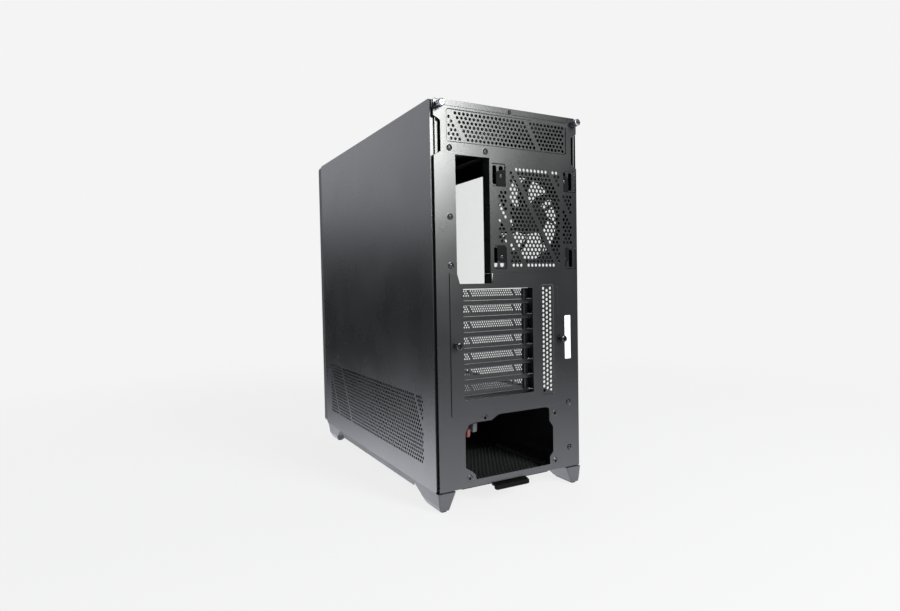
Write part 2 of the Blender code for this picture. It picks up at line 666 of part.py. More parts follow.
def drive_tray(name, low):
    """A drive tray: a channel for one disk drive, with a handle across its end."""
    y0, y1 = -0.1463, -0.0417
    top = low + 0.0240
    wall = 0.0020
    base = low + wall
    outline = [(y0, low), (y1, low), (y1, top), (y1 - wall, top), (y1 - wall, base),
               (y0 + wall, base), (y0 + wall, top), (y0, top)]
    channel = prism(outline, "x", -0.0700, 0.0800)
    face = prism(rounded(y0 - 0.0030, low, y1 + 0.0030, top + 0.0020, 0.003), "x", 0.0803, 0.0850)
    finger = prism(rounded(-0.1120, low + 0.0070, -0.0760, low + 0.0190, 0.004), "x", 0.070, 0.090)
    link = block((0.0790, y0 + 0.001, low + 0.0003), (0.0810, y1 - 0.001, low + 0.0018))
    return place(name, cut(join(channel, link, face), finger), PLASTIC, (-0.0700, y0, low))


def ssd_bracket(name, low):
    """A folded plate behind the motherboard tray that holds one solid-state drive."""
    x0 = TRAY_X + SHEET + GAP
    y0, y1 = -0.0600, 0.0450
    outline = [
        (x0, y0), (x0, y0 + 0.010), (x0 + 0.004, y0 + 0.012),
        (x0 + 0.004, y1 - 0.012), (x0, y1 - 0.010), (x0, y1),
        (x0 + SHEET, y1), (x0 + SHEET, y1 - 0.0088), (x0 + 0.005, y1 - 0.0108), (x0 + 0.005, y0 + 0.0108),
        (x0 + SHEET, y0 + 0.0088), (x0 + SHEET, y0),
    ]
    return place(name, prism(outline, "z", low, low + 0.0760), COATED, (x0, y0, low))


# ------------------------------------------------------------------ front ports and buttons
POWER_X, RESET_X = 0.0470, 0.0270


def front_ports():
    """The port block in the top: a housing over a small board, with the power and reset buttons."""
    x0, y0, x1, y1 = IO_BAY
    low = ROOF + GAP
    clear = 0.0005
    middle = (y0 + y1) / 2
    shell = cut(block((x0 + clear, y0 + clear, low), (x1 - clear, y1 - clear, HEIGHT)),
                block((x0 + 0.0025, y0 + 0.0025, low - 0.01), (x1 - 0.0025, y1 - 0.0025, HEIGHT - 0.0025)))
    holes = [
        prism(circle(POWER_X, middle, 0.0066, 20), "z", low, HEIGHT + 0.01),
        prism(circle(RESET_X, middle, 0.0031, 16), "z", low, HEIGHT + 0.01),
    ]
    sockets = []
    for x in (-0.0440, -0.0200):
        sockets.append(block((x - 0.0066, middle - 0.0028, 0.510), (x + 0.0066, middle + 0.0028, 0.520)))
    type_c = prism(rounded(-0.0040, middle - 0.0016, 0.0052, middle + 0.0016, 0.0015), "z", 0.510, 0.520)
    jack = prism(circle(0.0135, middle, 0.0018, 12), "z", 0.510, 0.520)
    housing = place("port_housing", cut(shell, *holes, *sockets, type_c, jack), PLASTIC, (0, middle, low))
    board = block((x0 + 0.0030, y0 + 0.0030, low + 0.0005), (x1 - 0.0030, y1 - 0.0030, low + 0.0021))
    place("port_board", board, BOARD, (0, middle, low), housing)
    for name, x, radius in (("power_button", POWER_X, 0.0062), ("reset_button", RESET_X, 0.0027)):
        cap = prism(circle(x, middle, radius, 20), "z", HEIGHT - 0.0045, HEIGHT)
        collar = prism(circle(x, middle, radius + 0.0006, 20), "z", HEIGHT - 0.0045, HEIGHT - 0.0028)
        smooth(place(name, join(cap, collar), PLASTIC, (x, middle, HEIGHT), housing))


# ------------------------------------------------------------------ cables
PANEL_ROUTE = (
    (0.0985, -0.1860, 0.5060), (0.0985, -0.1860, 0.4900), (0.0990, -0.1700, 0.4550),
    (0.1000, -0.1150, 0.4150), (0.1010, 0.0200, 0.3350), (0.1000, 0.0900, 0.2400),
    (0.0985, 0.1080, 0.1600), (0.0985, 0.1100, 0.1250), (0.0975, 0.1150, 0.1100),
    (0.0900, 0.1500, 0.1015), (0.0790, 0.1880, 0.0965), (0.0700, 0.2110, 0.0945),
)
USB_ROUTE = (
    (0.0955, -0.1930, 0.5060), (0.0955, -0.1930, 0.4900), (0.0965, -0.1850, 0.4550),
    (0.0970, -0.1400, 0.4050), (0.0975, -0.0100, 0.3150), (0.0975, 0.0600, 0.2250),
    (0.0970, 0.0780, 0.1500), (0.0970, 0.0790, 0.1220), (0.0955, 0.0850, 0.1060),
    (0.0830, 0.1250, 0.1050), (0.0660, 0.1700, 0.1015), (0.0570, 0.2045, 0.0995),
)


def smooth_route(points, count):
    """Evenly spread points on a Catmull-Rom curve through a route's points."""
    points = [Vector(p) for p in points]
    points = [2 * points[0] - points[1], *points, 2 * points[-1] - points[-2]]
    spans = len(points) - 3
    made = []
    for step in range(count + 1):
        place_on = min(step / count * spans, spans - 1e-6)
        i = int(place_on)
        t = place_on - i
        a, b, c, d = points[i:i + 4]
        second = 2 * a - 5 * b + 4 * c - d
        third = 3 * b - a - 3 * c + d
        made.append(0.5 * (2 * b + (c - a) * t + second * t * t + third * t ** 3))
    return made


def cable(name, route, radius, finish, plug_name, plug_size):
    """A lead down the back of the motherboard tray, with a plug on its free end."""
    points = smooth_route(route, 44)
    curve = bpy.data.curves.new(name, "CURVE")
    curve.dimensions = "3D"
    curve.bevel_depth = radius
    curve.bevel_resolution = 2
    curve.use_fill_caps = True
    spline = curve.splines.new("POLY")
    spline.points.add(len(points) - 1)
    origin = points[0]
    for target, point in zip(spline.points, points):
        target.co = (*(point - origin), 1.0)
    lead = bpy.data.objects.new(name, curve)
    curve.materials.append(finish)
    bpy.context.scene.collection.objects.link(lead)
    lead.location = origin
    end = points[-1]
    heading = (points[-1] - points[-2]).normalized()
    bm = bmesh.new()
    bmesh.ops.create_cube(bm, size=1.0)
    bmesh.ops.scale(bm, vec=plug_size, verts=bm.verts)
    bmesh.ops.bevel(bm, geom=bm.edges[:], offset=0.0006, segments=1, affect="EDGES")
    mesh = bpy.data.meshes.new(plug_name)
    bm.to_mesh(mesh)
    bm.free()
    mesh.transform(heading.to_track_quat("Z", "X").to_matrix().to_4x4())
    mesh.transform(Matrix.Translation(end + heading * (plug_size[2] / 2 + GAP)))
    place(plug_name, mesh, finish, end)


# ------------------------------------------------------------------ build
rear_panel()
top_frame()
floor_pan()
front_frame()
motherboard_tray()
psu_shroud()
steel_panel()
glass_side()
top_cover()
front_cover()

for side_name, side_sign in (("right", 1), ("left", -1)):
    foot("foot_rear_" + side_name, side_sign, (0.1500, REAR), (0.1880, REAR - 0.001))
    foot("foot_front_" + side_name, side_sign, (-0.2240, -0.1540), (-0.2120, -0.1760))

WHEEL = rotor_mesh()
WHEEL.materials.clear()
WHEEL.materials.append(PLASTIC)
WHEEL.shade_smooth()
WHEEL.set_sharp_from_angle(angle=radians(35))
fan("rear_fan", REAR_FAN, REAR - SHEET - GAP - FAN_DEPTH, WHEEL)
for number, fan_z in enumerate(FRONT_FANS):
    fan(f"front_fan_{number + 1}", (FRONT_FAN_X, fan_z), FRAME_FRONT + FAN_STAND_OFF, WHEEL)

bracket_made = slot_bracket()
for slot in range(SLOTS):
    slot_cover(slot, bracket_made)
for label, (screw_x, screw_z) in zip(("right", "left"), BRACKET_SCREWS):
    seat = REAR + SHEET + 2 * GAP
    thumb_screw("bracket_screw_" + label, (screw_x, screw_z), seat, 0.0088, SCREW, bracket_made)
for label, side_sign in (("right", 1), ("left", -1)):
    corner = (side_sign * CORNER_SCREW[0], CORNER_SCREW[1])
    thumb_screw("corner_screw_" + label, corner, REAR + GAP, -FRONT - REAR - GAP, SCREW)

psu_filter()
for label, side_sign in (("right", 1), ("left", -1)):
    pad_x = side_sign * 0.0665
    outline = rounded(pad_x - 0.004, 0.0900, pad_x + 0.004, 0.2100, 0.002)
    strip = prism(outline, "z", FLOOR + SHEET + GAP, 0.0310)
    place("psu_pad_" + label, strip, RUBBER, (side_sign * 0.0665, 0.150, 0.0310))

drive_cage()
drive_tray("drive_tray_lower", 0.0290)
drive_tray("drive_tray_upper", 0.0640)
ssd_bracket("ssd_bracket_lower", 0.1500)
ssd_bracket("ssd_bracket_upper", 0.2400)
front_ports()
cable("panel_cable", PANEL_ROUTE, 0.0020, RED_CABLE, "panel_plug", (0.0100, 0.0055, 0.0140))
cable("usb_cable", USB_ROUTE, 0.0022, GREY_CABLE, "usb_plug", (0.0120, 0.0075, 0.0160))
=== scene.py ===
# %% [markdown]
# # A desktop computer case, seen from behind
#
# The case is made of thin steel sheet: cut, pressed, perforated, folded and then powder coated black.
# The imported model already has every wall, panel, screw and fan in the right place. This lesson gives
# them the detail that the sheet metal shop would: perforations, pressed recesses, rolled edges,
# screws, moulded fans and a coat of paint that catches the light.

# %% Load the frame
from math import cos, pi, radians, sin

import bmesh
import bpy
from mathutils import Matrix, Vector


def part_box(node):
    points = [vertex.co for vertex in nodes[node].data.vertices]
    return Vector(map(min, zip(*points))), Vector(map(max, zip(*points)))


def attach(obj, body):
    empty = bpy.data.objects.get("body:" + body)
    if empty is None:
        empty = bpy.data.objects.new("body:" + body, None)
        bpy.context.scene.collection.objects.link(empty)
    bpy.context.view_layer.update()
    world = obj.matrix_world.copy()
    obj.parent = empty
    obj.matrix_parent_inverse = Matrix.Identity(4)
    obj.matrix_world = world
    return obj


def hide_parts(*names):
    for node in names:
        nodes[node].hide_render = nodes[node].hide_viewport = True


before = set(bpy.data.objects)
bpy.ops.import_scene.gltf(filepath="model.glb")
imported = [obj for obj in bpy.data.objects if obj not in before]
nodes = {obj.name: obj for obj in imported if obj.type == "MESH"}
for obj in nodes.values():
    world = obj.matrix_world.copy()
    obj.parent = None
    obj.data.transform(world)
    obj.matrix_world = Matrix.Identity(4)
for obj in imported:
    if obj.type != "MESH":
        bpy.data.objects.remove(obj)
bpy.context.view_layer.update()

# %% [markdown]
# ## Sizes that the pieces share
#
# A sheet metal drawing starts with a few numbers that everything else is measured from. The boxes of
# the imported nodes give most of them, so that the detail always lands on the real walls.

# %% Shared sizes
SHEET = 0.001
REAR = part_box("rear_panel_upper")[1].y
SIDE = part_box("side_panel_steel")[1].x
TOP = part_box("top_cover")[1].z
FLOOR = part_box("floor_pan")[1].z
SLOT_PITCH = 0.02032
SLOTS = 7
PITCH = 0.00607                # from one perforation to the next
ROW = 0.00526                  # from one row to the next
HOLE = 0.0043
print("rear face at", round(REAR, 4), "side at", round(SIDE, 4), "top at", round(TOP, 4))

# %% [markdown]
# ## The camera
#
# The camera stands behind the case on its right-hand side, a little above half its height. A short
# lens this close makes the side panel run quickly away to the front, as a wide lens does.

# %% Camera
camera_data = bpy.data.cameras.new("camera")
camera_data.sensor_width = 36.0
camera_data.lens = 23.42
camera_data.clip_start = 0.01
camera = bpy.data.objects.new("camera", camera_data)
bpy.context.scene.collection.objects.link(camera)
camera_right = Vector((-0.87581, 0.48232, -0.01822))
camera_up = Vector((-0.03323, -0.02260, 0.99919))
camera_turn = Matrix((camera_right, camera_up, camera_right.cross(camera_up))).transposed()
camera.matrix_world = Matrix.Translation((0.4447, 0.8704, 0.2860)) @ camera_turn.to_4x4()
bpy.context.scene.camera = camera
bpy.context.scene.view_settings.view_transform = "Standard"
bpy.context.scene.view_settings.look = "None"
print("camera", [round(value, 3) for value in camera.location])

# %% [markdown]
# ## The studio
#
# Black satin paint has almost no colour of its own, so its look is what it reflects. The room is
# bright above and, like a lit sheet of paper, below, and dark at eye height, so that each wall runs
# from light to dark and back to light. A soft lamp behind the camera makes the bright patch high on
# the rear wall. The camera itself sees a plain pale room with no horizon in it.

# %% Studio helpers
ROOM_WHITE = (0.905, 0.905, 0.905, 1.0)


def add(tree, kind, values=None, **settings):
    """Adds a node, sets its properties and then the values of its sockets."""
    made = tree.nodes.new(kind)
    for name, value in settings.items():
        setattr(made, name, value)
    for socket, value in (values or {}).items():
        made.inputs[socket].default_value = value
    return made


def wire(tree, *pairs):
    """Joins each output to its input."""
    for source, target in pairs:
        tree.links.new(source, target)


def soft_lamp(name, place, target, width, height, power, colour):
    """A square lamp that looks at a point."""
    lamp = bpy.data.lights.new(name, "AREA")
    lamp.shape = "RECTANGLE"
    lamp.size = width
    lamp.size_y = height
    lamp.energy = power
    lamp.color = colour
    holder = bpy.data.objects.new(name, lamp)
    bpy.context.scene.collection.objects.link(holder)
    holder.location = place
    holder.rotation_euler = (Vector(target) - Vector(place)).to_track_quat("-Z", "Y").to_euler()
    return holder


# %% Room light by height
ROOM_STRENGTH = 2.5
ROOM_LIGHT = ((-1.0, 0.40), (-0.50, 1.20), (-0.31, 1.40), (-0.22, 0.25), (-0.15, 0.01), (0.00, 0.01),
              (0.07, 0.10), (0.16, 0.36), (0.40, 0.42), (1.0, 0.30))
COOL = (0.96, 0.97, 1.05)
world = bpy.data.worlds.new("white_room")
bpy.context.scene.world = world
world.use_nodes = True
room = world.node_tree
room.nodes.clear()
direction = add(room, "ShaderNodeTexCoord")
split = add(room, "ShaderNodeSeparateXYZ")
to_ramp = add(room, "ShaderNodeMath", {1: 0.5, 2: 0.5}, operation="MULTIPLY_ADD")
height_ramp = add(room, "ShaderNodeValToRGB")
while len(height_ramp.color_ramp.elements) < len(ROOM_LIGHT):
    height_ramp.color_ramp.elements.new(0.5)
for stop, (slope, light) in zip(height_ramp.color_ramp.elements, ROOM_LIGHT):
    stop.position = slope / 2 + 0.5
    stop.color = (*[light * part for part in COOL], 1)
wire(room, (direction.outputs["Generated"], split.inputs[0]), (split.outputs["Z"], to_ramp.inputs[0]),
     (to_ramp.outputs[0], height_ramp.inputs["Fac"]))
print("light given for", len(ROOM_LIGHT), "heights")

# %% Dimmer above eye height at the back
behind = add(room, "ShaderNodeMapRange", {"From Min": -0.30, "From Max": 0.25}, interpolation_type="SMOOTHSTEP")
above = add(room, "ShaderNodeMapRange", {"From Max": 0.05, "To Max": 0.85})
shaded = add(room, "ShaderNodeMath", operation="MULTIPLY")
dimming = add(room, "ShaderNodeMath", {1: ROOM_STRENGTH}, operation="MULTIPLY")
strength = add(room, "ShaderNodeMath", {0: ROOM_STRENGTH}, operation="SUBTRACT")
wire(room, (split.outputs["Y"], behind.inputs["Value"]), (split.outputs["Z"], above.inputs["Value"]),
     (behind.outputs[0], shaded.inputs[0]), (above.outputs[0], shaded.inputs[1]),
     (shaded.outputs[0], dimming.inputs[0]), (dimming.outputs[0], strength.inputs[1]))

# %% What the camera sees and what the paint reflects
seen = add(room, "ShaderNodeBackground", {"Color": ROOM_WHITE})
lit = add(room, "ShaderNodeBackground")
path = add(room, "ShaderNodeLightPath")
either = add(room, "ShaderNodeMath", operation="MAXIMUM")
choose = add(room, "ShaderNodeMixShader")
out = add(room, "ShaderNodeOutputWorld")
wire(room, (strength.outputs[0], lit.inputs["Strength"]), (height_ramp.outputs["Color"], lit.inputs["Color"]),
     (path.outputs["Is Camera Ray"], either.inputs[0]), (path.outputs["Is Transmission Ray"], either.inputs[1]),
     (either.outputs[0], choose.inputs["Fac"]), (lit.outputs[0], choose.inputs[1]),
     (seen.outputs[0], choose.inputs[2]), (choose.outputs[0], out.inputs["Surface"]))
print("room has", len(room.nodes), "nodes")

# %% Lamps
soft_lamp("rear_lamp", (-0.42, 1.65, 1.00), (0.09, 0.232, 0.44), 0.50, 0.80, 42.0, (0.97, 1.0, 0.975))
soft_lamp("low_lamp", (0.80, 1.25, 0.30), (-0.02, 0.20, 0.08), 1.0, 0.5, 2.5, (0.98, 1.0, 0.99))
soft_lamp("side_lamp", (1.9, -1.7, 1.6), (0.115, 0.0, 0.40), 2.6, 2.2, 9.0, (0.94, 0.95, 1.0))
print("lamps:", len(bpy.data.lights))

# %% [markdown]
# ## The floor
#
# A sheet of pale paper only has to catch the shadow round the feet. Its material is mostly clear and
# fades out with distance, so the paper has no edge and the room behind it stays even.

# %% Floor
floor_mesh = bpy.data.meshes.new("studio_floor")
floor_shape = bmesh.new()
bmesh.ops.create_circle(floor_shape, cap_ends=True, segments=96, radius=14.0)
floor_shape.to_mesh(floor_mesh)
floor_shape.free()
studio_floor = bpy.data.objects.new("studio_floor", floor_mesh)
studio_floor.location.z = -0.0001
bpy.context.scene.collection.objects.link(studio_floor)

# %% Fading paper
paper = bpy.data.materials.new("pale_paper")
paper.use_nodes = True
sheet = paper.node_tree
sheet.nodes.clear()
clear = add(sheet, "ShaderNodeBsdfTransparent")
matt = add(sheet, "ShaderNodeBsdfDiffuse", {"Color": (0.80, 0.80, 0.80, 1)})
both = add(sheet, "ShaderNodeMixShader")
away = add(sheet, "ShaderNodeVectorMath", operation="LENGTH")
fading = add(sheet, "ShaderNodeMapRange", {"From Min": 0.35, "From Max": 1.60, "To Min": 0.11, "To Max": 0.0},
             interpolation_type="SMOOTHSTEP")
centre = add(sheet, "ShaderNodeTexCoord")
paper_out = add(sheet, "ShaderNodeOutputMaterial")
wire(sheet, (centre.outputs["Object"], away.inputs[0]), (away.outputs["Value"], fading.inputs["Value"]),
     (fading.outputs[0], both.inputs["Fac"]), (clear.outputs[0], both.inputs[1]), (matt.outputs[0], both.inputs[2]),
     (both.outputs[0], paper_out.inputs["Surface"]))
floor_mesh.materials.append(paper)
print("studio floor ready")

# %% [markdown]
# ## Finishes
#
# Powder coat is sprayed on dry and baked, which leaves a fine pebbled skin called orange peel. Fine
# noise drives a small bump, and a broader one shifts the roughness a little from place to place, so
# that a reflection isn't perfectly even, and dusts the colour as well. The same recipe with other
# numbers makes moulded plastic, rubber and plated steel, so one helper mixes them all.


# %% Finish helper
def finish(name, colour, roughness, metallic=0.0, grain=1400.0, bump=0.10, patch=9.0, drift=0.05,
           mottle=0.12, ior=1.5, specular=0.5):
    """A Principled finish with grain in its bump, drift in its roughness and mottle in its colour."""
    made = bpy.data.materials.new(name)
    made.use_nodes = True
    tree = made.node_tree
    shader = tree.nodes["Principled BSDF"]
    for socket, value in (("Metallic", metallic), ("IOR", ior), ("Specular IOR Level", specular)):
        shader.inputs[socket].default_value = value
    place = add(tree, "ShaderNodeTexCoord").outputs["Object"]
    fine = add(tree, "ShaderNodeTexNoise", {"Scale": grain, "Detail": 2.0})
    broad = add(tree, "ShaderNodeTexNoise", {"Scale": patch, "Detail": 5.0})
    pebbles = add(tree, "ShaderNodeBump", {"Strength": bump, "Distance": 0.0004})
    rough_range = add(tree, "ShaderNodeMapRange", {
        "From Min": 0.3, "From Max": 0.7, "To Min": roughness - drift, "To Max": roughness + drift})
    shades = add(tree, "ShaderNodeMix", {
        "A": (*[part * (1 - mottle) for part in colour], 1),
        "B": (*[part * (1 + mottle) for part in colour], 1)}, data_type="RGBA")
    wire(tree, (place, fine.inputs["Vector"]), (place, broad.inputs["Vector"]),
         (fine.outputs["Fac"], pebbles.inputs["Height"]), (pebbles.outputs["Normal"], shader.inputs["Normal"]),
         (broad.outputs["Fac"], rough_range.inputs["Value"]), (broad.outputs["Fac"], shades.inputs["Factor"]),
         (rough_range.outputs["Result"], shader.inputs["Roughness"]),
         (shades.outputs["Result"], shader.inputs["Base Color"]))
    return made


# %% Painted steel
PAINT_IOR = 1.62
powder_coat = finish("powder_coat", (0.0050, 0.0053, 0.0057), 0.28, bump=0.045, drift=0.03, ior=PAINT_IOR)
inner_coat = finish("inner_powder_coat", (0.0150, 0.0155, 0.0155), 0.42, bump=0.12, ior=PAINT_IOR)
mesh_coat = finish("perforated_coat", (0.0050, 0.0053, 0.0055), 0.30, bump=0.06, ior=PAINT_IOR)
shroud_coat = finish("shroud_coat", (0.0110, 0.0115, 0.0115), 0.22, bump=0.05, ior=PAINT_IOR)

# %% Dull finishes
DULL = 0.08
# Dull black for the roof frame, and also for the sheet of painted shade behind the slot tabs.
roof_and_shade_coat = finish("roof_and_shade_coat", (0.0030, 0.0032, 0.0034), 0.60, bump=0.06, specular=DULL)
fan_plastic = finish("fan_plastic", (0.0025, 0.0025, 0.0028), 0.60, grain=3000.0, bump=0.06, specular=DULL)
filter_plastic = finish("filter_plastic", (0.0025, 0.0025, 0.0028), 0.80, grain=2600.0, bump=0.10, specular=DULL)

# %% Plastic, rubber and paper
moulded = finish("moulded_plastic", (0.008, 0.008, 0.0085), 0.50, grain=2600.0, bump=0.16)
foot_grey = finish("foot_plastic", (0.038, 0.039, 0.042), 0.44, grain=2200.0, bump=0.14)
rubber = finish("rubber", (0.012, 0.012, 0.012), 0.82, grain=1800.0, bump=0.30)
nylon = finish("nylon", (0.020, 0.020, 0.021), 0.60, grain=3000.0, bump=0.20)
red_sleeve = finish("red_sleeve", (0.115, 0.026, 0.018), 0.50, grain=1500.0, bump=0.12)
grey_sleeve = finish("grey_sleeve", (0.040, 0.040, 0.044), 0.50, grain=1500.0, bump=0.12)
board_green = finish("circuit_board", (0.010, 0.055, 0.028), 0.38, grain=700.0, bump=0.05)
blank_paper = finish("blank_label", (0.80, 0.80, 0.79), 0.45, grain=2600.0, bump=0.05, mottle=0.02)

# %% Plated steel
black_zinc = finish("black_zinc", (0.045, 0.045, 0.048), 0.22, metallic=0.9, grain=900.0, bump=0.05)
nickel = finish("nickel", (0.24, 0.24, 0.26), 0.26, metallic=1.0, grain=700.0, bump=0.03)
print("finishes:", len(bpy.data.materials))

# %% [markdown]
# ## Sheet metal helpers
#
# Nearly every piece here starts as an outline that is pushed through a thickness. Boolean modifiers
# then cut openings, like the punches of a press. Working with real solids keeps each sheet closed,
# with its thickness showing at every cut edge.

# %% Outlines
ORDER = {"x": (2, 0, 1), "y": (0, 2, 1), "z": (0, 1, 2)}


def at(axis, a, b, along):
    """A point from two coordinates across an axis and one along it."""
    values = (a, b, along)
    return Vector([values[i] for i in ORDER[axis]])


def rectangle(a0, b0, a1, b1):
    """Four corners."""
    return [(a0, b0), (a1, b0), (a1, b1), (a0, b1)]


def circle(a, b, radius, count):
    """Points round a centre."""
    return [(a + radius * cos(2 * pi * i / count), b + radius * sin(2 * pi * i / count))
            for i in range(count)]


def rounded(a0, b0, a1, b1, radius, steps=4):
    """A rectangle with round corners."""
    corners = [(a1 - radius, b1 - radius), (a0 + radius, b1 - radius), (a0 + radius, b0 + radius),
               (a1 - radius, b0 + radius)]
    points = []
    for quarter, (a, b) in enumerate(corners):
        for step in range(steps + 1):
            angle = pi / 2 * (quarter + step / steps)
            points.append((a + radius * cos(angle), b + radius * sin(angle)))
    return points


# %% Solids
def shell(axis, rings, name="shell"):
    """Skins a row of outlines, each (points, position along the axis), and closes both ends."""
    shape = bmesh.new()
    loops = [[shape.verts.new(at(axis, a, b, along)) for a, b in points] for points, along in rings]
    for first, second in zip(loops, loops[1:]):
        for i in range(len(first)):
            j = (i + 1) % len(first)
            shape.faces.new((first[i], first[j], second[j], second[i]))
    shape.faces.new(loops[0])
    shape.faces.new(loops[-1])
    bmesh.ops.recalc_face_normals(shape, faces=shape.faces)
    mesh = bpy.data.meshes.new(name)
    shape.to_mesh(mesh)
    shape.free()
    return mesh


def prism(axis, outline, start, end):
    """An outline pushed through a thickness."""
    return shell(axis, [(outline, start), (outline, end)], "prism")


def block(low, high):
    """A box between two corners."""
    return prism("z", rectangle(low[0], low[1], high[0], high[1]), low[2], high[2])


def merged(*meshes):
    """One mesh that holds several."""
    shape = bmesh.new()
    for mesh in meshes:
        shape.from_mesh(mesh)
    made = bpy.data.meshes.new("merged")
    shape.to_mesh(made)
    shape.free()
    return made


# %% Modifiers as tools
def linked(name, mesh):
    """A mesh on an object in the scene."""
    made = bpy.data.objects.new(name, mesh)
    bpy.context.scene.collection.objects.link(made)
    return made


def baked(host):
    """What an object's modifiers make, as a plain mesh. The object goes."""
    graph = bpy.context.evaluated_depsgraph_get()
    mesh = bpy.data.meshes.new_from_object(host.evaluated_get(graph))
    bpy.data.objects.remove(host)
    return mesh


def cut(base, *tools):
    """Punches solids out of a solid."""
    host = linked("sheet", base)
    punch = linked("punch", merged(*tools))
    step = host.modifiers.new("punch", "BOOLEAN")
    step.operation = "DIFFERENCE"
    step.use_self = True
    step.object = punch
    mesh = baked(host)
    bpy.data.objects.remove(punch)
    return mesh


def edged(mesh, width=0.0002, segments=1, angle=40):
    """Breaks the sharp edges, as tumbling or paint does."""
    host = linked("edged", mesh)
    soften = host.modifiers.new("edges", "BEVEL")
    soften.width = width
    soften.segments = segments
    soften.limit_method = "ANGLE"
    soften.angle_limit = radians(angle)
    soften.use_clamp_overlap = True
    return baked(host)


def copy_of(name):
    """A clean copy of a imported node: its loose triangles joined up, with flat faces whole again."""
    shape = bmesh.new()
    shape.from_mesh(nodes[name].data)
    bmesh.ops.remove_doubles(shape, verts=shape.verts, dist=1e-6)
    bmesh.ops.dissolve_limit(shape, angle_limit=radians(0.5), verts=shape.verts, edges=shape.edges)
    mesh = bpy.data.meshes.new(name + "_copy")
    shape.to_mesh(mesh)
    shape.free()
    for extra in list(mesh.attributes):
        if extra.name == "custom_normal":
            mesh.attributes.remove(extra)
    return mesh


def smooth(mesh, angle=35):
    """Shades the round faces smooth and keeps the real edges sharp."""
    mesh.shade_smooth()
    mesh.set_sharp_from_angle(angle=radians(angle))
    return mesh


def piece(name, mesh, material, body, replaces=()):
    """A finished piece: its mesh, its finish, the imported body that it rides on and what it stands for."""
    mesh.materials.clear()
    mesh.materials.append(material)
    made = linked(name, mesh)
    if replaces:
        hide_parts(*replaces)
    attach(made, body)
    print(name, len(mesh.polygons), "faces")
    return made


# %% [markdown]
# ## Perforated sheet, with Geometry Nodes
#
# A perforating press punches the same hole over and over on a staggered grid, and leaves some places
# blank. Cutting a thousand holes with Booleans would be slow. Here the sheet is tiled instead: each
# tile is a bit of sheet with one hole in it, half a tile further along on every other row. The tree
# lays out the points, looks straight down on a stencil to see which of them stay blank, puts a tile
# on each, and welds them together. Tile edges meet corner to corner, so no seam shows.


# %% Tiles
def tile_corners(width, height):
    """The outline of a tile, with a point half way along its long edges for the next row's corners."""
    a, b = width / 2, height / 2
    return [(0, b), (-a, b), (-a, -b), (0, -b), (a, -b), (a, b)]


def tile_with_hole(pitch, row, diameter, sides):
    """One tile of perforated sheet, open at its edges, round a many-sided hole."""
    shape = bmesh.new()
    layers = []
    for w in (SHEET / 2, -SHEET / 2):
        rim = [shape.verts.new((a, b, w)) for a, b in tile_corners(pitch, row)]
        ring = [shape.verts.new((a, b, w)) for a, b in circle(0, 0, diameter / 2, sides)]
        layers.append((rim, ring))
    quarter = sides // 4
    for turn, (rim, ring) in zip((1, -1), layers):
        left = rim[0:4] + [ring[i] for i in range(3 * quarter, quarter - 1, -1)]
        right = rim[3:6] + [rim[0]] + [ring[i % sides] for i in range(quarter, -quarter - 1, -1)]
        for face in (left, right):
            shape.faces.new(face[::turn])
    for i in range(sides):
        j = (i + 1) % sides
        shape.faces.new((layers[0][1][i], layers[0][1][j], layers[1][1][j], layers[1][1][i]))
    mesh = bpy.data.meshes.new("tile_with_hole")
    shape.to_mesh(mesh)
    shape.free()
    return mesh


def plain_tile(outline):
    """A bit of sheet with no hole."""
    shape = bmesh.new()
    for turn in (1, -1):
        shape.faces.new([shape.verts.new((a, b, turn * SHEET / 2)) for a, b in outline][::turn])
    mesh = bpy.data.meshes.new("plain_tile")
    shape.to_mesh(mesh)
    shape.free()
    return mesh


# %% Node tree helpers
def new_tree(name, inputs):
    """An empty tree with a geometry output and named inputs, and the sockets that its inputs come from."""
    tree = bpy.data.node_groups.new(name, "GeometryNodeTree")
    tree.interface.new_socket("Geometry", in_out="OUTPUT", socket_type="NodeSocketGeometry")
    for label, kind in inputs:
        tree.interface.new_socket(label, in_out="INPUT", socket_type="NodeSocket" + kind)
    return tree, add(tree, "NodeGroupInput").outputs


def maths(tree, operation, a, b=0.0):
    """A math node between two sockets or numbers, and its result."""
    made = add(tree, "ShaderNodeMath", operation=operation)
    for spot, value in ((0, a), (1, b)):
        if isinstance(value, (int, float)):
            made.inputs[spot].default_value = value
        else:
            tree.links.new(value, made.inputs[spot])
    return made.outputs[0]


def put(tree, host, inputs):
    """Gives an object a Geometry Nodes modifier and sets the tree's inputs by their identifiers."""
    step = host.modifiers.new(tree.name, "NODES")
    step.node_group = tree
    for item in tree.interface.items_tree:
        if item.item_type == "SOCKET" and item.in_out == "INPUT" and item.name in inputs:
            step[item.identifier] = inputs[item.name]


# %% The perforating tree
press, given = new_tree("perforating_press", (
    ("Geometry", "Geometry"), ("Half columns", "Int"), ("Rows", "Int"), ("Pitch", "Float"), ("Row pitch", "Float"),
    ("Hole tile", "Object"), ("Plain tile", "Object"), ("Half tile", "Object"), ("Stencil", "Object"),
    ("Finish", "Material")))
index = add(press, "GeometryNodeInputIndex").outputs[0]
reach = maths(press, "MULTIPLY", given["Pitch"], 0.5)


def number_in(group_size):
    """Which row a point is in, when each row holds this many."""
    return maths(press, "FLOOR", maths(press, "DIVIDE", maths(press, "ADD", index, 0.5), group_size))


def laid_out(count, x, row):
    """Points at a place along their row, and half a row pitch up from its edge."""
    height = maths(press, "MULTIPLY", maths(press, "ADD", row, 0.5), given["Row pitch"])
    spot = add(press, "ShaderNodeCombineXYZ")
    dots = add(press, "GeometryNodePoints")
    wire(press, (x, spot.inputs["X"]), (height, spot.inputs["Y"]), (count, dots.inputs["Count"]),
         (spot.outputs[0], dots.inputs["Position"]))
    return dots.outputs[0]


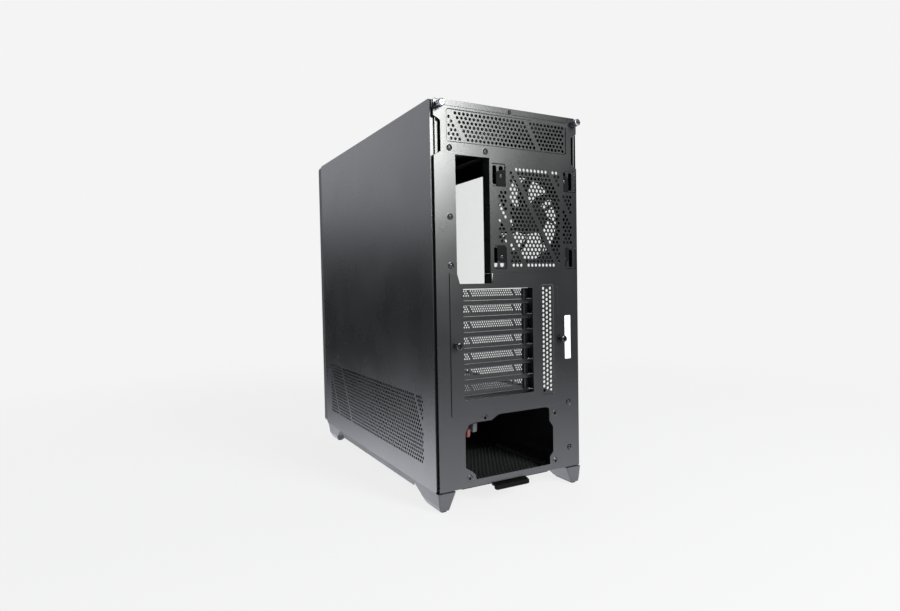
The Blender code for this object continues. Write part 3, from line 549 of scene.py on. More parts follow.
def without(points, unwanted):
    """The points that are left when the unwanted ones are gone."""
    made = add(press, "GeometryNodeDeleteGeometry", domain="POINT")
    wire(press, (points, made.inputs["Geometry"]), (unwanted, made.inputs["Selection"]))
    return made.outputs[0]


# %% Whole tiles, every other row half a tile further along
half_columns = given["Half columns"]
per_row = maths(press, "CEIL", maths(press, "MULTIPLY", half_columns, 0.5))
row = number_in(per_row)
step_in_row = maths(press, "SUBTRACT", index, maths(press, "MULTIPLY", row, per_row))
left = maths(press, "ADD", maths(press, "MODULO", row, 2.0), maths(press, "MULTIPLY", step_in_row, 2.0))
whole_x = maths(press, "MULTIPLY", maths(press, "ADD", left, 1.0), reach)
dots = laid_out(maths(press, "MULTIPLY", per_row, given["Rows"]), whole_x, row)
too_far = maths(press, "GREATER_THAN", maths(press, "ADD", left, 2.0), maths(press, "ADD", half_columns, 0.5))
trimmed = without(dots, too_far)

# %% Which places stay blank
stencil_shape = add(press, "GeometryNodeObjectInfo")
raised = add(press, "ShaderNodeVectorMath", {1: (0, 0, 1)}, operation="ADD")
look_down = add(press, "GeometryNodeRaycast", {"Ray Direction": (0, 0, -1), "Ray Length": 2.0})
parted = add(press, "GeometryNodeSeparateGeometry", domain="POINT")
wire(press, (given["Stencil"], stencil_shape.inputs["Object"]),
     (add(press, "GeometryNodeInputPosition").outputs[0], raised.inputs[0]),
     (stencil_shape.outputs["Geometry"], look_down.inputs["Target Geometry"]),
     (raised.outputs[0], look_down.inputs["Source Position"]),
     (trimmed, parted.inputs["Geometry"]), (look_down.outputs["Is Hit"], parted.inputs["Selection"]))

# %% Half tiles at the ends of the rows
end_row = number_in(2.0)
far_end = maths(press, "MODULO", index, 2.0)
row_width = maths(press, "MULTIPLY", half_columns, reach)
far_x = maths(press, "MULTIPLY", far_end, maths(press, "SUBTRACT", row_width, reach))
end_x = maths(press, "ADD", maths(press, "MULTIPLY", reach, 0.5), far_x)
ends = laid_out(maths(press, "MULTIPLY", given["Rows"], 2.0), end_x, end_row)
end_odd = maths(press, "MODULO", end_row, 2.0)
shifted = maths(press, "ADD", end_odd, maths(press, "MULTIPLY", far_end, half_columns))
halves = without(ends, maths(press, "LESS_THAN", maths(press, "MODULO", shifted, 2.0), 0.5))


# %% Tiles on their points, welded to one sheet
def place_tiles(points, tile):
    """Puts the object of one of the tree's inputs on points."""
    info = add(press, "GeometryNodeObjectInfo", {"As Instance": True})
    placed = add(press, "GeometryNodeInstanceOnPoints")
    wire(press, (given[tile], info.inputs["Object"]), (points, placed.inputs["Points"]),
         (info.outputs["Geometry"], placed.inputs["Instance"]))
    return placed.outputs[0]


together = add(press, "GeometryNodeJoinGeometry")
real = add(press, "GeometryNodeRealizeInstances")
weld = add(press, "GeometryNodeMergeByDistance", {"Distance": 0.00002})
coat = add(press, "GeometryNodeSetMaterial")
wire(press, (place_tiles(parted.outputs["Inverted"], "Hole tile"), together.inputs[0]),
     (place_tiles(parted.outputs["Selection"], "Plain tile"), together.inputs[0]),
     (place_tiles(halves, "Half tile"), together.inputs[0]),
     (together.outputs[0], real.inputs[0]), (real.outputs[0], weld.inputs[0]),
     (weld.outputs[0], coat.inputs["Geometry"]), (given["Finish"], coat.inputs["Material"]),
     (coat.outputs[0], add(press, "NodeGroupOutput").inputs[0]))
print("perforating tree has", len(press.nodes), "nodes")

# %% [markdown]
# ## A perforated field on any wall
#
# A field says where it starts, how many half columns and rows it has, and which slanted or straight
# stripes stay blank. Its tiles are made flat and then stood up on the wall that they belong to.

# %% Field helpers
STAND_UP = {
    "x": Matrix(((0, 0, 1), (1, 0, 0), (0, 1, 0))).to_4x4(),
    "y": Matrix(((1, 0, 0), (0, 0, -1), (0, 1, 0))).to_4x4(),
    "z": Matrix.Identity(4),
    "y upright": Matrix(((0, 1, 0), (0, 0, 1), (1, 0, 0))).to_4x4(),
}


def slanted(a_top, b_top, a_low, b_low, width):
    """A slanted stripe of a stencil, level at both ends."""
    half = width / 2
    return [(a_low - half, b_low), (a_low + half, b_low), (a_top + half, b_top), (a_top - half, b_top)]


def stencil_of(start, blanks):
    """The flat shape, measured from the field's corner, under which no holes are punched."""
    shape = bmesh.new()
    for outline in blanks:
        shape.faces.new([shape.verts.new((a - start[0], b - start[1], 0)) for a, b in outline])
    mesh = bpy.data.meshes.new("stencil")
    shape.to_mesh(mesh)
    shape.free()
    return mesh


def perforated(axis, surface, start, half_columns, rows, blanks=(), pitch=PITCH, row_pitch=ROW, hole=HOLE,
               sides=12):
    """A field of perforated sheet whose outer face is at a position on an axis: its mesh, and its outline."""
    half_tile = rectangle(-pitch / 4, -row_pitch / 2, pitch / 4, row_pitch / 2)
    shapes = {
        "Hole tile": tile_with_hole(pitch, row_pitch, hole, sides),
        "Plain tile": plain_tile(tile_corners(pitch, row_pitch)),
        "Half tile": plain_tile(half_tile),
        "Stencil": stencil_of(start, blanks),
    }
    tools = {label: linked(label, mesh) for label, mesh in shapes.items()}
    host = linked("field", bpy.data.meshes.new("field"))
    put(press, host, {"Half columns": half_columns, "Rows": rows, "Pitch": pitch, "Row pitch": row_pitch,
                      "Finish": mesh_coat, **tools})
    mesh = baked(host)
    for tool in tools.values():
        bpy.data.objects.remove(tool)
    mesh.transform(Matrix.Translation((*start, 0)))
    mesh.transform(STAND_UP[axis])
    mesh.transform(Matrix.Translation(at(axis[0], 0, 0, surface - SHEET / 2)))
    outline = rectangle(*start, start[0] + half_columns * pitch / 2, start[1] + rows * row_pitch)
    if axis == "y upright":
        outline = [(b, a) for a, b in outline]
    return mesh, outline


# %% Openings, pressings and blank stripes
def opening(axis, outline, surface, depth=0.004):
    """The punch for an outline in a wall."""
    return prism(axis, outline, surface - depth, surface + depth)


def pressing(axis, outer, inner, surface, depth):
    """A shallow dish pressed into a sheet: sloping sides and a flat floor, with the sheet's own thickness."""
    return shell(axis, [(inner, surface - depth), (outer, surface), (outer, surface - SHEET),
                        (inner, surface - depth - SHEET)], "pressing")


def diagonal(a, b, rows, lean=1, pitch=PITCH, row_pitch=ROW):
    """The stencil for a slanted row of blanks: it starts at the lowest one and leans half a pitch a row."""
    low, top = -0.5, rows - 0.5
    step = lean * pitch / 2
    return slanted(a + step * top, b + top * row_pitch, a + step * low, b + low * row_pitch, 0.8 * pitch)


# %% Two halves made one
def joined(upper, lower):
    """One sheet from two packed halves: both seam edges are drawn together, and the halves welded."""
    above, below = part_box(upper)[0].z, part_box(lower)[1].z
    middle = (above + below) / 2
    shape = bmesh.new()
    shape.from_mesh(copy_of(upper))
    shape.from_mesh(copy_of(lower))
    for vertex in shape.verts:
        if min(abs(vertex.co.z - above), abs(vertex.co.z - below)) < 1e-5:
            vertex.co.z = middle
    bmesh.ops.remove_doubles(shape, verts=shape.verts, dist=1e-5)
    inside = [face for face in shape.faces if all(abs(v.co.z - middle) < 1e-6 for v in face.verts)]
    bmesh.ops.delete(shape, geom=inside, context="FACES_ONLY")
    bmesh.ops.dissolve_limit(shape, angle_limit=radians(0.5), verts=shape.verts, edges=shape.edges)
    mesh = bpy.data.meshes.new("joined")
    shape.to_mesh(mesh)
    shape.free()
    return mesh


# %% [markdown]
# ## The rear wall
#
# The rear wall is the busiest sheet. It holds the fan grille, a vent high up, four pressed corners
# where a fan of either size screws on, the ports' opening and the power supply's opening. The packed
# wall already has its openings and folds, so a clean copy of it is punched where the fields and the
# pressings go, and they are set in.

# %% Vent along the top
VENT_DEPTH = 0.0012
VENT_START = (-0.0920, 0.4647)
VENT_ROWS = 7
first_hole = (VENT_START[0] + PITCH / 2, VENT_START[1] + ROW / 2)
vent_blanks = [diagonal(first_hole[0] + count * PITCH, first_hole[1], VENT_ROWS) for count in (7, 26)]
vent_field, vent_edge = perforated("y", REAR - VENT_DEPTH, VENT_START, 61, VENT_ROWS, vent_blanks)
vent_outer = rounded(-0.0945, 0.4626, 0.0945, 0.5036, 0.0035)
vent_inner = rounded(-0.0934, 0.4637, 0.0934, 0.5025, 0.0024)
vent_dish = cut(pressing("y", vent_outer, vent_inner, REAR, VENT_DEPTH), opening("y", vent_edge, REAR))
print("vent", len(vent_field.polygons), "faces")

# %% Fan grille in three fields
GRILLE_LOW = 0.3074
GRILLE_LEFT = -0.08593
GRILLE_ROWS = 25
CLUSTER_ROWS = 13
cluster_low = GRILLE_LOW + 6 * ROW
grille_first = (GRILLE_LEFT + PITCH / 2, GRILLE_LOW + ROW / 2)
grille_blanks = [diagonal(grille_first[0] + count * PITCH, grille_first[1], GRILLE_ROWS) for count in (1, 10, -9)]
end_gap = rectangle(grille_first[0] - 0.0022, GRILLE_LOW, grille_first[0] + 0.0022,
                    GRILLE_LOW + GRILLE_ROWS * ROW)
grille_fields = [
    perforated("y", REAR, (GRILLE_LEFT, GRILLE_LOW), 29, GRILLE_ROWS, [*grille_blanks, end_gap]),
    perforated("y", REAR, (GRILLE_LEFT - 3 * PITCH, cluster_low), 6, CLUSTER_ROWS, grille_blanks),
    perforated("y", REAR, (GRILLE_LEFT + 15 * PITCH, cluster_low), 5, CLUSTER_ROWS, grille_blanks),
]
print("grille", sum(len(mesh.polygons) for mesh, _ in grille_fields), "faces")

# %% Pressed corners of the fan mount
CORNER_DEPTH = 0.0018
CORNER_SLOPE = 0.0012
FAN_CORNERS = ((0.0070, 0.4120, 0.0290, 0.4420), (0.0070, 0.3050, 0.0270, 0.3360),
               (-0.1116, 0.4110, -0.0887, 0.4415), (-0.1100, 0.3046, -0.0907, 0.3350))
fan_dishes = []
fan_punches = []
for x0, z0, x1, z1 in FAN_CORNERS:
    rim = rounded(x0, z0, x1, z1, 0.0022)
    floor = rounded(x0 + CORNER_SLOPE, z0 + CORNER_SLOPE, x1 - CORNER_SLOPE, z1 - CORNER_SLOPE, 0.0012)
    slots = []
    for x in ((0.0236, 0.0135) if x0 > 0 else (-0.0911, -0.1018)):
        slots.append(opening("y", rounded(x - 0.0031, z0 + 0.0028, x + 0.0031, z1 - 0.0028, 0.0026), REAR))
    fan_dishes.append(cut(pressing("y", rim, floor, REAR, CORNER_DEPTH), *slots))
    fan_punches.append(opening("y", rim, REAR))
print("pressed corners:", len(fan_dishes))

# %% Bosses round the power supply's opening
SUPPLY_SCREWS = ((0.0450, 0.1130), (-0.0688, 0.1052), (-0.0692, 0.0382), (0.0693, 0.0377))
bosses = []
boss_punches = []
for x, z in SUPPLY_SCREWS:
    ring = pressing("y", circle(x, z, 0.0046, 24), circle(x, z, 0.0036, 24), REAR, -0.0007)
    bosses.append(cut(ring, opening("y", circle(x, z, 0.0019, 16), REAR)))
    boss_punches.append(opening("y", circle(x, z, 0.0046, 24), REAR, 0.002))
print("bosses:", len(bosses))

# %% Rear wall put together
wall_punches = [opening("y", vent_outer, REAR), *fan_punches, *boss_punches]
wall_punches += [opening("y", outline, REAR) for _, outline in grille_fields]
wall_sheet = cut(edged(joined("rear_panel_upper", "rear_panel_lower")), *wall_punches)
set_in = [vent_dish, vent_field, *fan_dishes, *bosses, *[mesh for mesh, _ in grille_fields]]
piece("rear_wall", merged(wall_sheet, *set_in), powder_coat, "chassis",
      ["rear_panel_upper", "rear_panel_lower"])

# %% [markdown]
# ## Slot bracket and slot covers
#
# The expansion cards screw to a bracket that comes off the rear wall as one unit. A narrow vent runs
# down beside its window. Each slot cover is a finely perforated strip, so its tiles are about half
# the size of the others.

# %% Vent and groove of the slot bracket
BRACKET_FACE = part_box("slot_bracket")[1].y
STRIP_DEPTH = 0.0006
strip_tiles, strip_edge = perforated("y upright", BRACKET_FACE - STRIP_DEPTH, (0.1354, -0.0661), 48, 3,
                                     pitch=0.00609, row_pitch=0.00585)
strip_outer = rounded(-0.0682, 0.1330, -0.0465, 0.2838, 0.0025)
strip_inner = rounded(-0.0674, 0.1338, -0.0473, 0.2830, 0.0018)
strip_dish = cut(pressing("y", strip_outer, strip_inner, BRACKET_FACE, STRIP_DEPTH),
                 opening("y", strip_edge, BRACKET_FACE))
groove_outer = rounded(-0.0760, 0.2395, -0.0722, 0.2812, 0.0018)
groove_inner = rounded(-0.0752, 0.2403, -0.0730, 0.2804, 0.0010)
groove = pressing("y", groove_outer, groove_inner, BRACKET_FACE, 0.0010)
print("bracket vent", len(strip_tiles.polygons), "faces")

# %% Slot bracket
PORT_RIGHT, PORT_LOW, PORT_SEAM = 0.0325, 0.2865, 0.3000
last_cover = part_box(f"slot_cover_{SLOTS}")[0]
last_bar = block((last_cover.x, 0.2225, 0.1385), (0.0755, 0.2250, last_cover.z - 0.0003))
port_fold = block((PORT_RIGHT - SHEET, REAR - 0.0160, PORT_LOW),
                  (PORT_RIGHT, BRACKET_FACE - 0.0001, PORT_SEAM - 0.0006))
bracket_sheet = cut(edged(copy_of("slot_bracket"), 0.0006, 3), opening("y", strip_outer, BRACKET_FACE),
                    opening("y", groove_outer, BRACKET_FACE, 0.0016))
piece("slot_carrier", merged(bracket_sheet, strip_dish, strip_tiles, groove, last_bar, port_fold), powder_coat,
      "slot_bracket", ["slot_bracket"])

# %% [markdown]
# A slot cover is a flat strip with a tab at one end, bent outwards, that its screw holds. The
# tabs are left bare and bright, and behind them a dull black sheet is painted shade, darkening the gap to the
# inside.

# %% Slot covers
FINE_PITCH, FINE_ROW, FINE_HOLE = 0.0034, 0.00294, 0.0025
TAB_LENGTH = 0.0095
tabs = []
for count in range(SLOTS):
    label = f"slot_cover_{count + 1}"
    low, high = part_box(label)
    start = (low.x + 0.0113, high.z - 3 * FINE_ROW - 0.0002)
    first = (start[0] + FINE_PITCH / 2, start[1] + FINE_ROW / 2)
    stripes = [diagonal(first[0] + along * FINE_PITCH, first[1], 3, 1, FINE_PITCH, FINE_ROW) for along in (3, 23)]
    tiles, edge = perforated("y", low.y + SHEET, start, 55, 3, stripes, FINE_PITCH, FINE_ROW, FINE_HOLE, 8)
    tab_end = low.x + TAB_LENGTH
    old_tab = block((low.x - 0.001, low.y - 0.001, low.z - 0.001), (tab_end, high.y + 0.002, high.z + 0.001))
    strip = cut(cut(copy_of(label), opening("y", edge, low.y + SHEET, 0.002)), old_tab)
    tab = block((low.x + 0.0005, low.y, low.z), (tab_end, BRACKET_FACE - 0.0006, low.z + 0.0010))
    tabs.append(edged(tab, 0.0002, 1))
    piece(f"perforated_cover_{count + 1}", merged(strip, tiles), mesh_coat, "slot_bracket",
          [label])

# %% Tabs, and the dull black sheet of painted shade behind them
piece("cover_tabs", merged(*tabs), nickel, "slot_bracket")
back_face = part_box("slot_cover_1")[0].y - 0.0003
# A dull black sheet behind the tabs: painted shade, darkening the gap to the inside.
shade_sheet = block((last_cover.x - 0.0005, back_face - SHEET, 0.1385), (last_cover.x + 0.0097, back_face, 0.2795))
piece("tab_channel", shade_sheet, roof_and_shade_coat, "slot_bracket")

# %% [markdown]
# ## Side panel
#
# The steel side panel is one big pan. Its lower vent is the same perforated pattern, and the blank
# stripes in it lean the other way, since it is seen from outside the case's right-hand side.

# %% Side panel
side_start = (-0.1975, 0.0530)
side_first = (side_start[0] + PITCH / 2, side_start[1] + ROW / 2)
side_blanks = [diagonal(side_first[0] + along * PITCH, side_first[1], 17, -1) for along in (7, 18, 68)]
side_tiles, side_edge = perforated("x", SIDE, side_start, 129, 17, side_blanks)
side_sheet = cut(edged(copy_of("side_panel_steel"), 0.0004, 2), opening("x", side_edge, SIDE))
finger_lip = block((0.1036, 0.2264, 0.4470), (0.1095, 0.2273, 0.4915))
finger_fold = block((0.1088, 0.2264, 0.4470), (0.1095, 0.2300, 0.4915))
piece("side_panel_skin", merged(side_sheet, side_tiles, finger_lip, finger_fold), powder_coat, "side_panel",
      ["side_panel_steel"])

# %% [markdown]
# ## Top cover and front grille
#
# The lid breathes through a field of the same holes, and so does the front. The front grille has
# thousands of them, so its holes have only eight sides, which nobody can tell at that size.

# %% Top cover
lid_tiles, lid_edge = perforated("z", TOP, (-0.0835, -0.1840), 55, 73, sides=8)
lid_sheet = cut(edged(copy_of("top_cover")), opening("z", lid_edge, TOP, 0.0015))
piece("lid", merged(lid_sheet, lid_tiles), powder_coat, "top_cover", ["top_cover"])

# %% Front grille
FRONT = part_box("front_grille")[0].y
front_tiles, front_edge = perforated("y", FRONT + SHEET, (-67 * PITCH / 4, 0.0438), 67, 86, sides=8)
front_sheet = cut(copy_of("front_grille"), opening("y", front_edge, FRONT))
piece("front_mesh", merged(front_sheet, front_tiles), mesh_coat, "front_cover",
      ["front_grille"])

# %% [markdown]
# ## Floor of the power supply bay
#
# The power supply draws its air through the floor, so the pan is perforated there too, over the
# filter that slides in under it.

# %% Floor pan
intake_tiles, intake_edge = perforated("z", FLOOR + SHEET, (-41 * PITCH / 4, 0.0922), 41, 22, sides=8)
rail_ends = [block((x - 0.0060, 0.2130, 0.0150), (x + 0.0060, 0.2400, FLOOR - SHEET - 0.0001))
             for x in (0.0765, -0.0765)]
pan_sheet = cut(copy_of("floor_pan"), opening("z", intake_edge, FLOOR + SHEET, 0.0015), *rail_ends)
piece("perforated_floor", merged(pan_sheet, intake_tiles), inner_coat, "chassis", ["floor_pan"])

# %% [markdown]
# ## Filter under the power supply
#
# The filter slides out to the rear by a tab in the middle of its edge. Only the tab reaches past the
# wall, and a row of ribs gives the fingers a grip. The frame itself stays back, under the floor pan.

# %% Slide-out filter
filter_low, filter_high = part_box("psu_filter")
TAB = (-0.0195, 0.0335)
FRAME_END = 0.2130
beyond = [block((-0.10, FRAME_END, 0.0), (TAB[0], 0.25, 0.10)), block((TAB[1], FRAME_END, 0.0), (0.10, 0.25, 0.10))]
back_edge = block((-0.0700, FRAME_END - 0.0060, filter_low.z), (0.0700, FRAME_END, filter_high.z))
ribs = []
for count in range(4):
    left = TAB[0] + 0.0060 + count * 0.0115
    ribs.append(block((left, filter_high.y - 0.0040, filter_high.z - 0.0035),
                      (left + 0.0075, filter_high.y + 0.0004, filter_high.z - 0.0010)))
filter_frame = edged(cut(copy_of("psu_filter"), *beyond), 0.0004, 2)
piece("slide_out_filter", merged(filter_frame, back_edge, *ribs), filter_plastic, "psu_filter",
      ["psu_filter"])

# %% [markdown]
# ## Screws, with Geometry Nodes
#
# One screw is drawn once: a low domed head with a cross recess. A second tree puts it on the points
# of a mesh, turned to face the way its wall faces, and each one stops at its own angle, as hand-driven
# screws do. The angles come from a fixed seed, so they are the same every time.


# %% Screw head
def block_on(axis, a, b, surface, half_a, half_b, depth):
    """A block sunk into a face, given by its half sizes across the axis."""
    return prism(axis, rectangle(a - half_a, b - half_b, a + half_a, b + half_b), surface - depth, surface + depth)


def cross_recess(axis, a, b, surface, reach, width, depth):
    """The two crossed bars that a screwdriver fits."""
    return [block_on(axis, a, b, surface, reach, width, depth), block_on(axis, a, b, surface, width, reach, depth)]


def screw_head(radius, height):
    """A pan head on its face, along +Z, with a washer under it."""
    profile = [(1.30, 0.0), (1.30, 0.16), (1.16, 0.20), (1.04, 0.06), (0.98, 0.30), (0.90, 0.55), (0.72, 0.80),
               (0.45, 0.95), (0.20, 1.0)]
    head = shell("z", [(circle(0, 0, radius * reach, 20), height * rise) for reach, rise in profile])
    head = cut(head, *cross_recess("z", 0, 0, height, radius * 0.55, radius * 0.13, 0.0009))
    return smooth(head, 30)


# %% Screw placing tree
driver, driven = new_tree("screw_driver", (
    ("Geometry", "Geometry"), ("Screw", "Object"), ("Facing", "Vector"), ("Seed", "Int"), ("Finish", "Material")))
screw_info = add(driver, "GeometryNodeObjectInfo", {"As Instance": True})
face_out = add(driver, "FunctionNodeAlignRotationToVector", axis="Z")
any_turn = add(driver, "FunctionNodeRandomValue", data_type="FLOAT")
any_turn.inputs["Max"].default_value = pi / 2
about_z = add(driver, "ShaderNodeCombineXYZ")
as_turn = add(driver, "FunctionNodeEulerToRotation")
spun = add(driver, "FunctionNodeRotateRotation", rotation_space="LOCAL")
set_on = add(driver, "GeometryNodeInstanceOnPoints")
screws_real = add(driver, "GeometryNodeRealizeInstances")
screws_coat = add(driver, "GeometryNodeSetMaterial")
wire(driver, (driven["Screw"], screw_info.inputs["Object"]), (driven["Facing"], face_out.inputs["Vector"]),
     (driven["Seed"], any_turn.inputs["Seed"]), (any_turn.outputs["Value"], about_z.inputs["Z"]),
     (about_z.outputs[0], as_turn.inputs[0]), (face_out.outputs[0], spun.inputs[0]),
     (as_turn.outputs[0], spun.inputs[1]), (driven["Geometry"], set_on.inputs["Points"]),
     (screw_info.outputs["Geometry"], set_on.inputs["Instance"]), (spun.outputs[0], set_on.inputs["Rotation"]),
     (set_on.outputs[0], screws_real.inputs[0]), (screws_real.outputs[0], screws_coat.inputs["Geometry"]),
     (driven["Finish"], screws_coat.inputs["Material"]),
     (screws_coat.outputs[0], add(driver, "NodeGroupOutput").inputs[0]))
print("screw tree has", len(driver.nodes), "nodes")


# %% Screws on points
def drive(name, points, model, facing, seed, material, body):
    """One mesh that holds a screw on every point."""
    spots = bpy.data.meshes.new("spots")
    spots.from_pydata([tuple(point) for point in points], [], [])
    host = linked("spots", spots)
    screw = linked("screw", model)
    put(driver, host, {"Screw": screw, "Facing": facing, "Seed": seed, "Finish": material})
    mesh = baked(host)
    bpy.data.objects.remove(screw)
    piece(name, mesh, material, body)


# %% Screws of the rear wall
OUT_OF_REAR = (0, 1, 0)
wall_spots = [(x, REAR, z) for x, z in (
    (0.0910, 0.4554), (0.0385, 0.4553), (0.0913, 0.3703), (0.0912, 0.3096), (-0.0948, 0.0536), (-0.0939, 0.1177))]
drive("wall_screws", wall_spots, screw_head(0.0033, 0.0018), OUT_OF_REAR, 3, black_zinc, "chassis")
fan_spots = [(x, REAR - CORNER_DEPTH + 0.0001, z) for x in (0.0137, -0.0913) for z in (0.4263, 0.3213)]
drive("fan_screws", fan_spots, screw_head(0.0029, 0.0014), OUT_OF_REAR, 5, black_zinc, "chassis")

# %% Screws of the slot covers
cover_spots = []
for count in range(SLOTS):
    low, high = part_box(f"slot_cover_{count + 1}")
    cover_spots.append((low.x + 0.0050, (low.y + BRACKET_FACE) / 2, low.z + 0.0010))
UPWARD = (0, 0, 1)
drive("cover_screws", cover_spots, screw_head(0.0024, 0.0015), UPWARD, 7, black_zinc, "slot_bracket")

# %% [markdown]
# A motherboard stands off its tray on brass pillars: six-sided, with a hole in the end for a screw.

# %% Standoffs on the motherboard tray
tray_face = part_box("motherboard_tray")[0].x
pillar, bore = circle(0, 0, 0.0029, 6), circle(0, 0, 0.0016, 6)
standoff = shell("z", [(pillar, 0.0), (pillar, 0.0060), (bore, 0.0060), (bore, 0.0040)])
standoff_spots = [(tray_face, y, z) for y in (0.2100, 0.0850, -0.0080) for z in (0.4370, 0.2825, 0.1555)]
brass = finish("brass", (0.42, 0.30, 0.12), 0.30, metallic=1.0, grain=900.0, bump=0.04)
drive("standoffs", standoff_spots, standoff, (-1, 0, 0), 11, brass, "chassis")

# %% [markdown]
# ## Thumb screws
#
# Panels that come off by hand are held by thumb screws: a head wide enough for two fingers, ridged
# round its edge and cut with a cross for a screwdriver. The ridges are made by drawing the outline of
# the head as a many-pointed star.


# %% Thumb screw
def star(a, b, radius, ridges, dip):
    """A circle with small ridges."""
    points = []
    for i in range(4 * ridges):
        angle = 2 * pi * i / (4 * ridges)
        reach = radius if i % 4 in (0, 1) else radius - dip
        points.append((a + reach * cos(angle), b + reach * sin(angle)))
    return points


def thumb_screw(label, material):
    """A thumb screw in place of a packed one, the same length and width."""
    low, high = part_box(label)
    x, z = (low.x + high.x) / 2, (low.z + high.z) / 2
    radius = (high.x - low.x) / 2
    seat = low.y + 0.0045
    ridges = 18
    ridged = star(x, z, radius, ridges, 0.0003)
    neck = [(0.0015, low.y), (0.0015, seat), (0.0036, seat), (0.0036, seat + 0.0018), (0.0030, seat + 0.0021),
            (0.0030, seat + 0.0027), (radius * 0.90, seat + 0.0028)]
    crown = [(radius * 0.90, high.y - 0.0005), (radius * 0.72, high.y - 0.0002), (radius * 0.66, high.y)]
    rings = [(circle(x, z, reach, 4 * ridges), y) for reach, y in neck]
    rings += [(ridged, seat + 0.0033), (ridged, high.y - 0.0011)]
    rings += [(circle(x, z, reach, 4 * ridges), y) for reach, y in crown]
    mesh = cut(shell("y", rings), *cross_recess("y", x, z, high.y, radius * 0.58, 0.0006, 0.0020))
    piece("ridged_" + label, smooth(mesh, 25), material, label, [label])


for label in ("corner_screw_left", "corner_screw_right"):
    thumb_screw(label, nickel)
for label in ("bracket_screw_left", "bracket_screw_right"):
    thumb_screw(label, black_zinc)

# %% [markdown]
# ## Blank label
#
# A white paper label with rounded corners sits on the rear wall beside the slots. It carries nothing.

# %% Label
label_sheet = prism("y", rounded(-0.0984, 0.1795, -0.0884, 0.2400, 0.0010), REAR + 0.00002, REAR + 0.00018)
blank_label = linked("blank_label", label_sheet)
label_sheet.materials.append(blank_paper)
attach(blank_label, "chassis")
print("label", len(label_sheet.polygons), "faces")

# %% [markdown]
# ## Fans
#
# A fan wheel is a cup with swept blades. Each blade is skinned through sections from root to tip: the
# section's angle gives the pitch, its place round the hub gives the sweep, and its thickness thins
# towards both edges. One wheel mesh is made and turned a little for each fan.

# %% Fan wheel
BLADES = 7
HUB, TIP = 0.0205, 0.0555


def blade(base):
    """One blade of the wheel about the Y axis, as a closed shape."""
    shape = bmesh.new()
    sections, stations = 11, 9
    loops = []
    for step in range(sections):
        t = step / (sections - 1)
        radius = HUB - 0.002 + (TIP - HUB + 0.002) * t
        middle = base + 0.42 * t * t
        half_chord = (0.0085 + 0.0040 * t) / radius
        rise = 0.0068 - 0.0022 * t
        front, back = [], []
        for station in range(stations):
            a = 2 * station / (stations - 1) - 1
            angle = middle + a * half_chord * 0.5
            height = 0.0115 + a * rise + 0.0016 * (1 - a * a)
            thick = 0.0007 * (1 - 0.75 * a * a)
            front.append(shape.verts.new((radius * cos(angle), height + thick, radius * sin(angle))))
            back.append(shape.verts.new((radius * cos(angle), height - thick, radius * sin(angle))))
        loops.append(front + back[::-1])
    for first, second in zip(loops, loops[1:]):
        for i in range(len(first)):
            j = (i + 1) % len(first)
            shape.faces.new((first[i], first[j], second[j], second[i]))
    shape.faces.new(loops[0])
    shape.faces.new(loops[-1])
    bmesh.ops.recalc_face_normals(shape, faces=shape.faces)
    mesh = bpy.data.meshes.new("blade")
    shape.to_mesh(mesh)
    shape.free()
    return mesh


# %% Hub, wheels and frames
def hub_cup():
    """The cup in the middle of the wheel, with a rounded rim and a shallow recess in its face."""
    profile = [(0.0150, 0.0020), (0.0155, 0.0012), (0.0185, 0.0012), (0.0200, 0.0018), (HUB, 0.0032), (HUB, 0.0192),
               (0.0198, 0.0208), (0.0185, 0.0215)]
    return shell("y", [(circle(0, 0, radius, 48), y) for radius, y in profile])


FAN_TURNS = {"rear_fan": 0.35, "front_fan_1": 0.2, "front_fan_2": 0.9, "front_fan_3": 0.5}
for fan, turn in FAN_TURNS.items():
    low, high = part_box(fan + "_frame")
    centre = Vector(((low.x + high.x) / 2, low.y, (low.z + high.z) / 2))
    wheel = merged(hub_cup(), *[blade(2 * pi * count / BLADES + turn) for count in range(BLADES)])
    wheel.transform(Matrix.Translation(centre))
    frame_mesh = edged(copy_of(fan + "_frame"), 0.0004, 2, 50)
    piece(fan + "_bladed_wheel", smooth(wheel, 40), fan_plastic, fan + "_wheel", [fan + "_rotor"])
    piece(fan + "_moulded_frame", frame_mesh, fan_plastic, "chassis", [fan + "_frame"])

# %% [markdown]
# ## Leads to the front ports
#
# Two leads run from the port block in the top, down behind the motherboard tray and into the power
# supply bay, where their plugs wait for a motherboard. A curve carries each one: a smooth line with
# a round bevel is exactly what a lead is. They leave the port block and end in a plug.

# %% Lead helper
LEADS = {
    "panel": (0.0020, red_sleeve, "red_cable", (
        (0.0985, -0.1860, 0.5060), (0.0985, -0.1860, 0.4900), (0.0990, -0.1700, 0.4550),
        (0.1000, -0.1150, 0.4150), (0.1010, 0.0200, 0.3350), (0.1000, 0.0900, 0.2400),
        (0.0985, 0.1080, 0.1600), (0.0985, 0.1100, 0.1250), (0.0975, 0.1150, 0.1100),
        (0.0900, 0.1500, 0.1015), (0.0790, 0.1880, 0.0965), (0.0700, 0.2110, 0.0945))),
    "usb": (0.0022, grey_sleeve, "grey_cable", (
        (0.0955, -0.1930, 0.5060), (0.0955, -0.1930, 0.4900), (0.0965, -0.1850, 0.4550),
        (0.0970, -0.1400, 0.4050), (0.0975, -0.0100, 0.3150), (0.0975, 0.0600, 0.2250),
        (0.0970, 0.0780, 0.1500), (0.0970, 0.0790, 0.1220), (0.0955, 0.0850, 0.1060),
        (0.0830, 0.1250, 0.1050), (0.0660, 0.1700, 0.1015), (0.0570, 0.2045, 0.0995))),
}


